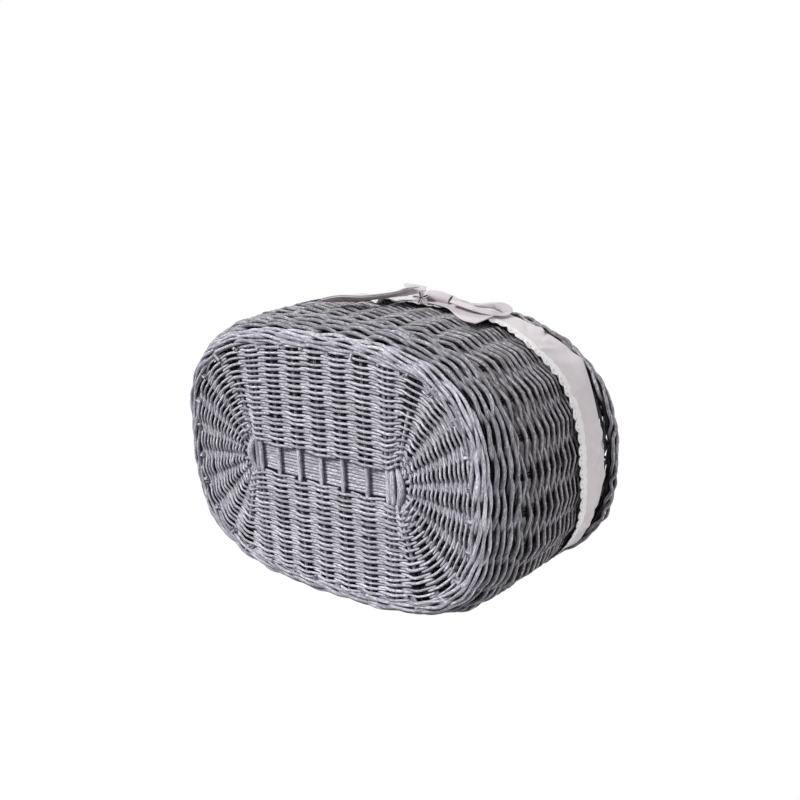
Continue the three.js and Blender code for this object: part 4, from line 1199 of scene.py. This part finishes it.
def knot_surface():
    """Knot: a flat cloth tube along its own axis, bent down at one end into a gather pleated like a star.

    r = radius (narrow at the neck) (1 + gather * star), where star = 1.45 |sin(2.5 q)|^3 - 0.7 has five
    points and gather grows towards the end, plus fine pleats at the neck.
    """
    line = spline_open([
        (46.5, -155.5, 116), (46, -156, 121.5), (47, -156.2, 126), (51.5, -156.4, 128.8), (58, -156.2, 129.2),
        (65, -155.2, 129), (73, -153, 130)], 84)
    share = np.linspace(0, 1, len(line))[:, None]
    q = np.linspace(0, TURN, 73)[None, :]
    neck = bell(share, KNOT_NECK, 0.08)
    gather = step(share, KNOT_GATHER, 0)
    star = 1.45 * np.abs(np.sin(2.5 * q + 0.4)) ** 3 - 0.7
    radius = KNOT_RADIUS * (1 - 0.5 * neck) * (0.9 + 0.1 * np.sin(np.pi * share))
    radius = radius * (1 + gather * star) + 0.25 * np.sin(8 * q) * neck
    tangent = tangents(line, False)
    side = unit(np.cross(tangent, [0, -1, 0]))
    front = np.cross(side, tangent)
    ring = np.cos(q)[..., None] * side[:, None] + KNOT_FLATNESS * np.sin(q)[..., None] * front[:, None]
    return line[:, None] + radius[..., None] * ring


def add_bow(name, turn):
    """All pieces of one bow, made for the front and turned to its foot of the handle."""
    add_cloth(f"bow_{name}_knot_cloth", knot_surface() * turn, COTTON, f"bow_{name}_knot")
    for make in (long_loop, short_loop, wide_tail, short_tail):
        part = f"bow_{name}_{make.__name__}"
        add_cloth(f"{part}_ribbon", make() * turn, COTTON, part)


# Handle and bar


def handle_line(samples):
    """Handle in the plane x = 0: tails that follow the wall's inside and ease into half an ellipse."""
    tail_z = np.linspace(*HANDLE_TAIL_LEVELS, HANDLE_TAIL_POINTS)
    ease = step(tail_z, *HANDLE_EASE_LEVELS)
    tail_y = wall_size(tail_z)[1] + STAKE_OFFSET + (HANDLE_SPAN - RIM_WIDTH / 2 - STAKE_OFFSET) * ease
    tail = np.stack([np.zeros(HANDLE_TAIL_POINTS), tail_y, tail_z], -1)
    angle = np.linspace(0, np.pi, samples)
    height = BASKET_HEIGHT + HANDLE_RISE * np.sin(angle)
    arch = np.stack([np.zeros(samples), -HANDLE_SPAN * np.cos(angle), height], -1)
    return np.concatenate([tail * [1, -1, 1], arch, tail[::-1]])


def add_handle():
    """Core of the handle, and the strands wound round it above the lids."""
    line = handle_line(120)
    tail = HANDLE_TAIL_POINTS
    taper = np.linspace(*HANDLE_TAIL_TAPER, tail) ** 1.5
    radius = np.full(len(line), HANDLE_RADIUS)
    radius[:tail] *= taper
    radius[-tail:] *= taper[::-1]
    side = np.array([1.0, 0.0, 0.0])
    core = rods(line[None], radius, side, seed=91, closed=False, sides=12)
    wound = line[tail + 3:-tail - 3]
    wrap = rope(wound, side, strands=7, turns=9, radial=5.6, upright=5.6, radius=1.9, seed=92, closed=False)
    add_rods("handle_core_rod", core, WILLOW, "handle_core")
    add_rods("handle_wrap_rods", wrap, WILLOW, "handle_wrap")


def straight_stick(x, reach, seed):
    """Stick along Y at the lids' level."""
    y = np.linspace(-reach, reach, 60)
    path = np.stack([np.full(len(y), x), y, LID_LEVEL + 0.2 * np.sin(y / 31 + seed)], -1)
    return rods(path[None], STICK_RADIUS, UP, seed, closed=False, sides=12)


def bar_weave():
    """Rows across the bar from stick to stick, over and under three ribs that run along it.

    Height = level + swing * sign(row) * cos(pi x / rib pitch).
    """
    y = np.linspace(-BAR_WEAVE_REACH, BAR_WEAVE_REACH, BAR_ROWS)[:, None]
    x = np.linspace(-BAR_ROW_REACH, BAR_ROW_REACH, 25)
    sign = (-1.0) ** np.arange(BAR_ROWS)[:, None]
    over = sign * np.cos(np.pi * x / BAR_RIB_PITCH)
    paths = np.stack(np.broadcast_arrays(x, y, LID_LEVEL + BAR_SWING * over), -1)
    # Rows darken where they pass under a rib: painted shade
    rows = rods(paths, BAR_ROW_RADIUS, UP, seed=94, closed=False, lift=0.65 + 0.35 * over)
    rib_x = BAR_RIB_PITCH * np.array([[-1], [0], [1]])
    rib_y = np.linspace(-BAR_RIB_REACH, BAR_RIB_REACH, 30)
    rib_paths = np.stack(np.broadcast_arrays(rib_x, rib_y, LID_LEVEL), -1)
    # Ribs under the rows are darkened: painted shade
    return merged([rows, rods(rib_paths, BAR_RIB_RADIUS, UP, seed=95, closed=False, lift=0.3)])


def add_bar():
    """Sticks and weave of the bar between the lids."""
    for name, x, seed in (("left", -BAR_AXIS, 96), ("right", BAR_AXIS, 97)):
        add_rods(f"bar_stick_{name}_rod", straight_stick(x, RIM_WIDTH / 2, seed), WILLOW, f"bar_stick_{name}")
    add_rods("bar_weave_rods", bar_weave(), WILLOW, "bar_weave")


# Lids

LID_OVAL = (LID_HALF_LENGTH, LID_HALF_WIDTH, RIM_SQUARENESS)


def lid_reach(across, half_across, half_along):
    """Where the lid's border line lies at a place across it: along (1 - |across / half|^n)^(1/n)."""
    rest = np.clip(1 - np.abs(across / half_across) ** RIM_SQUARENESS, 0, 1)
    return half_along * rest ** (1 / RIM_SQUARENESS)


def lid_border(draw, reach):
    """Border of the right lid: strands laid round its curved edge with a long lay over a core, and more that
    cross in the gap inside it. Its corners are drawn in by a share that fades away from the hinge."""
    corner = angle_at_x(LID_BORDER_START, *LID_OVAL)
    flat = oval(even_angles(LID_OVAL, 300, -corner, corner), *LID_OVAL)
    flat[:, 1] *= 1 - draw * bell(flat[:, 0], WEAVE_START, reach)
    path = np.concatenate([flat, np.full((len(flat), 1), LID_LEVEL)], 1)
    outward = np.cross(tangents(path, False), UP)
    # The core under the strands is coloured near-black: painted shade
    core = rods(path[None], LID_CORE_RADIUS, UP, seed=100, closed=False, lift=0.0)
    outer = rope(
        path, outward, strands=6, turns=2.4, radial=4.2, upright=4.1, radius=1.8, seed=101,
        closed=False, wander=0.7)
    inner = rope(
        path - LID_BORDER_INSET * outward, outward, strands=3, turns=5, radial=2.6, upright=1.4, radius=1.5,
        seed=108, closed=False, wander=0.5, inside=3.0)
    return merged([core, outer, inner])


def lid_weave():
    """Rows of the right lid along Y, woven over ribs along X, ending short of the border.

    Height = level + swing * sign(row) * cos(pi y / rib pitch). The rods are flattened and nearly as wide as
    the pitch of the rows.
    """
    rng = np.random.default_rng(102)
    rows = int((WEAVE_END - WEAVE_START) / LID_ROW_PITCH)
    x = WEAVE_START + LID_ROW_PITCH * (np.arange(rows) + 0.5)
    half = lid_reach(x, LID_HALF_LENGTH - LID_EDGE_GAP + 3, LID_HALF_WIDTH - LID_EDGE_GAP)
    y = np.linspace(-1, 1, 145) * half[:, None]
    over = (-1.0) ** np.arange(rows)[:, None] * np.cos(np.pi * y / LID_RIB_PITCH)
    wander = rng.normal(0, 0.2, (rows, 1)) + 0.25 * np.sin(y / 37 + rng.uniform(0, TURN, (rows, 1)))
    paths = np.stack([x[:, None] + wander, y, LID_LEVEL + LID_SWING * over], -1)
    # Rows are darker half way between ribs, where they slope between levels: painted shade
    lift = 0.35 + 0.65 * np.abs(over)
    return rods(paths, LID_ROW_RADIUS, UP, seed=103, closed=False, lift=lift, flat=LID_ROW_FLATNESS)


def lid_ribs():
    """Ribs of the right lid, from the hinge stick to the border."""
    count = int((LID_HALF_WIDTH - 6) / LID_RIB_PITCH)
    y = np.arange(-count, count + 1)[:, None] * LID_RIB_PITCH
    reach = lid_reach(y, LID_HALF_WIDTH, LID_HALF_LENGTH) - 1
    x = HINGE_STICK_X + np.linspace(0, 1, 40) * (reach - HINGE_STICK_X)
    paths = np.stack(np.broadcast_arrays(x, y, LID_LEVEL), -1)
    # Ribs under the rows are darkened: painted shade
    return rods(paths, LID_RIB_RADIUS, UP, seed=104, closed=False, lift=0.4)


def hinge_loop(y, seed):
    """Willow loop wound round the bar's stick and the lid's stick: turns of a stadium, advancing along Y."""
    q = np.linspace(0, HINGE_LOOP_TURNS * TURN, HINGE_LOOP_TURNS * 28)
    reach = STICK_RADIUS + HINGE_LOOP_GAP
    x = np.where(np.cos(q) > 0, HINGE_STICK_X, BAR_AXIS) + reach * np.cos(q)
    path = np.stack([x, y + (q / q[-1] - 0.5) * HINGE_LOOP_WIDTH, LID_LEVEL + reach * np.sin(q)], -1)
    outward = np.stack([np.cos(q), np.zeros(len(q)), np.sin(q)], -1)
    return rods(path[None], HINGE_LOOP_RADIUS, outward, seed, closed=False)


def add_lid(body, draw, reach, opposite):
    """Every piece of one lid, made for the right lid and turned half round for the opposite one."""
    pieces = {
        "hinge_stick": (straight_stick(HINGE_STICK_X, HINGE_STICK_REACH, 105), WILLOW),
        "ribs_and_border": (merged([lid_ribs(), lid_border(draw, reach)]), DARK_WILLOW),
        "weave": (lid_weave(), DARK_WILLOW),
        "hinge_loop_1": (hinge_loop(-HINGE_LOOP_SPACING / 2, 106), WILLOW),
        "hinge_loop_2": (hinge_loop(HINGE_LOOP_SPACING / 2, 107), WILLOW),
    }
    for part, (shape, finish) in pieces.items():
        shape = turned(shape) if opposite else shape
        add_rods(f"{body}_{part}_rods", shape, finish, f"{body}_{part}", body)


# Camera, light and floor


def add_camera():
    """Camera at the photograph's place: below the base and towards the lidded end in view."""
    towards = np.array([
        np.cos(VIEW_DROP) * np.sin(VIEW_TURN), -np.sin(VIEW_DROP), -np.cos(VIEW_DROP) * np.cos(VIEW_TURN)])
    right = unit(np.cross(-towards, [0, -1, 0]))
    above = np.cross(right, -towards)
    rolled_right = np.cos(VIEW_ROLL) * right + np.sin(VIEW_ROLL) * above
    rolled_above = np.cos(VIEW_ROLL) * above - np.sin(VIEW_ROLL) * right
    place = towards * VIEW_DISTANCE + rolled_right * VIEW_SHIFT[0] + rolled_above * VIEW_SHIFT[1]
    camera = bpy.data.objects.new("Camera", bpy.data.cameras.new("Camera"))
    camera.data.sensor_width = SENSOR_WIDTH
    camera.data.lens = FOCAL_PIXELS / IMAGE_PIXELS * SENSOR_WIDTH
    columns = np.stack([rolled_right, rolled_above, towards, place * MM], 1)
    camera.matrix_world = Matrix([*columns.tolist(), [0, 0, 0, 1]])
    bpy.context.scene.collection.objects.link(camera)
    bpy.context.scene.camera = camera


def add_sun(name, towards, strength, angle):
    """Sun lamp that shines from a direction."""
    lamp = bpy.data.lights.new(name, "SUN")
    lamp.energy = strength
    lamp.angle = angle
    sun = bpy.data.objects.new(name, lamp)
    back = unit(np.array(towards))
    side = unit(np.cross([0.3, 0.9, 0.1], back))
    columns = np.stack([side, np.cross(back, side), back], 1)
    sun.matrix_world = Matrix(columns.tolist()).to_4x4()
    bpy.context.scene.collection.objects.link(sun)


def add_light():
    """Key from the side of the base, fill from the end in view, a light from above for the standing basket,
    and a world that looks white and lights the basket less."""
    for name, sun in SUNS.items():
        add_sun(name, *sun)
    world = bpy.data.worlds.new("Studio")
    bpy.context.scene.world = world
    world.use_nodes = True
    nodes = Nodes(world.node_tree)
    background = world.node_tree.nodes["Background"]
    background.inputs["Color"].default_value = (1, 1, 1, 1)
    nodes.put(background.inputs["Strength"], nodes.ramp(nodes.shown_rays(), 0, 1, to_low=WORLD_LIGHT))


def add_floor():
    """Pale floor that is seen from above with the basket's shadow, and is clear from below."""
    corners = FLOOR_HALF * np.array([[-1, -1, 0], [1, -1, 0], [1, 1, 0], [-1, 1, 0]])
    material, nodes, shader = surface_material("Pale floor", Base_Color=colour(240, 240, 241), Roughness=0.9)
    front = nodes.math("SUBTRACT", 1.0, nodes.add("ShaderNodeNewGeometry").outputs["Backfacing"])
    mix = nodes.add("ShaderNodeMixShader")
    clear = nodes.add("ShaderNodeBsdfTransparent")
    nodes.put_all(mix, nodes.math("MULTIPLY", nodes.shown_rays(), front), clear.outputs[0], shader.outputs[0])
    nodes.put(material.node_tree.nodes["Material Output"].inputs["Surface"], mix.outputs[0])
    floor = mesh_object("Floor", corners, np.array([[0, 1, 2, 3]]), material)


add_camera()
add_base()
add_wall()
add_liner()
add_bow("front", 1)
add_bow("back", HALF_TURN)
add_handle()
add_bar()
add_lid("lid_right", draw=0.055, reach=50.0, opposite=False)
add_lid("lid_left", draw=0.062, reach=95.0, opposite=True)
add_light()
add_floor()
bpy.context.scene.view_settings.view_transform = "Standard"
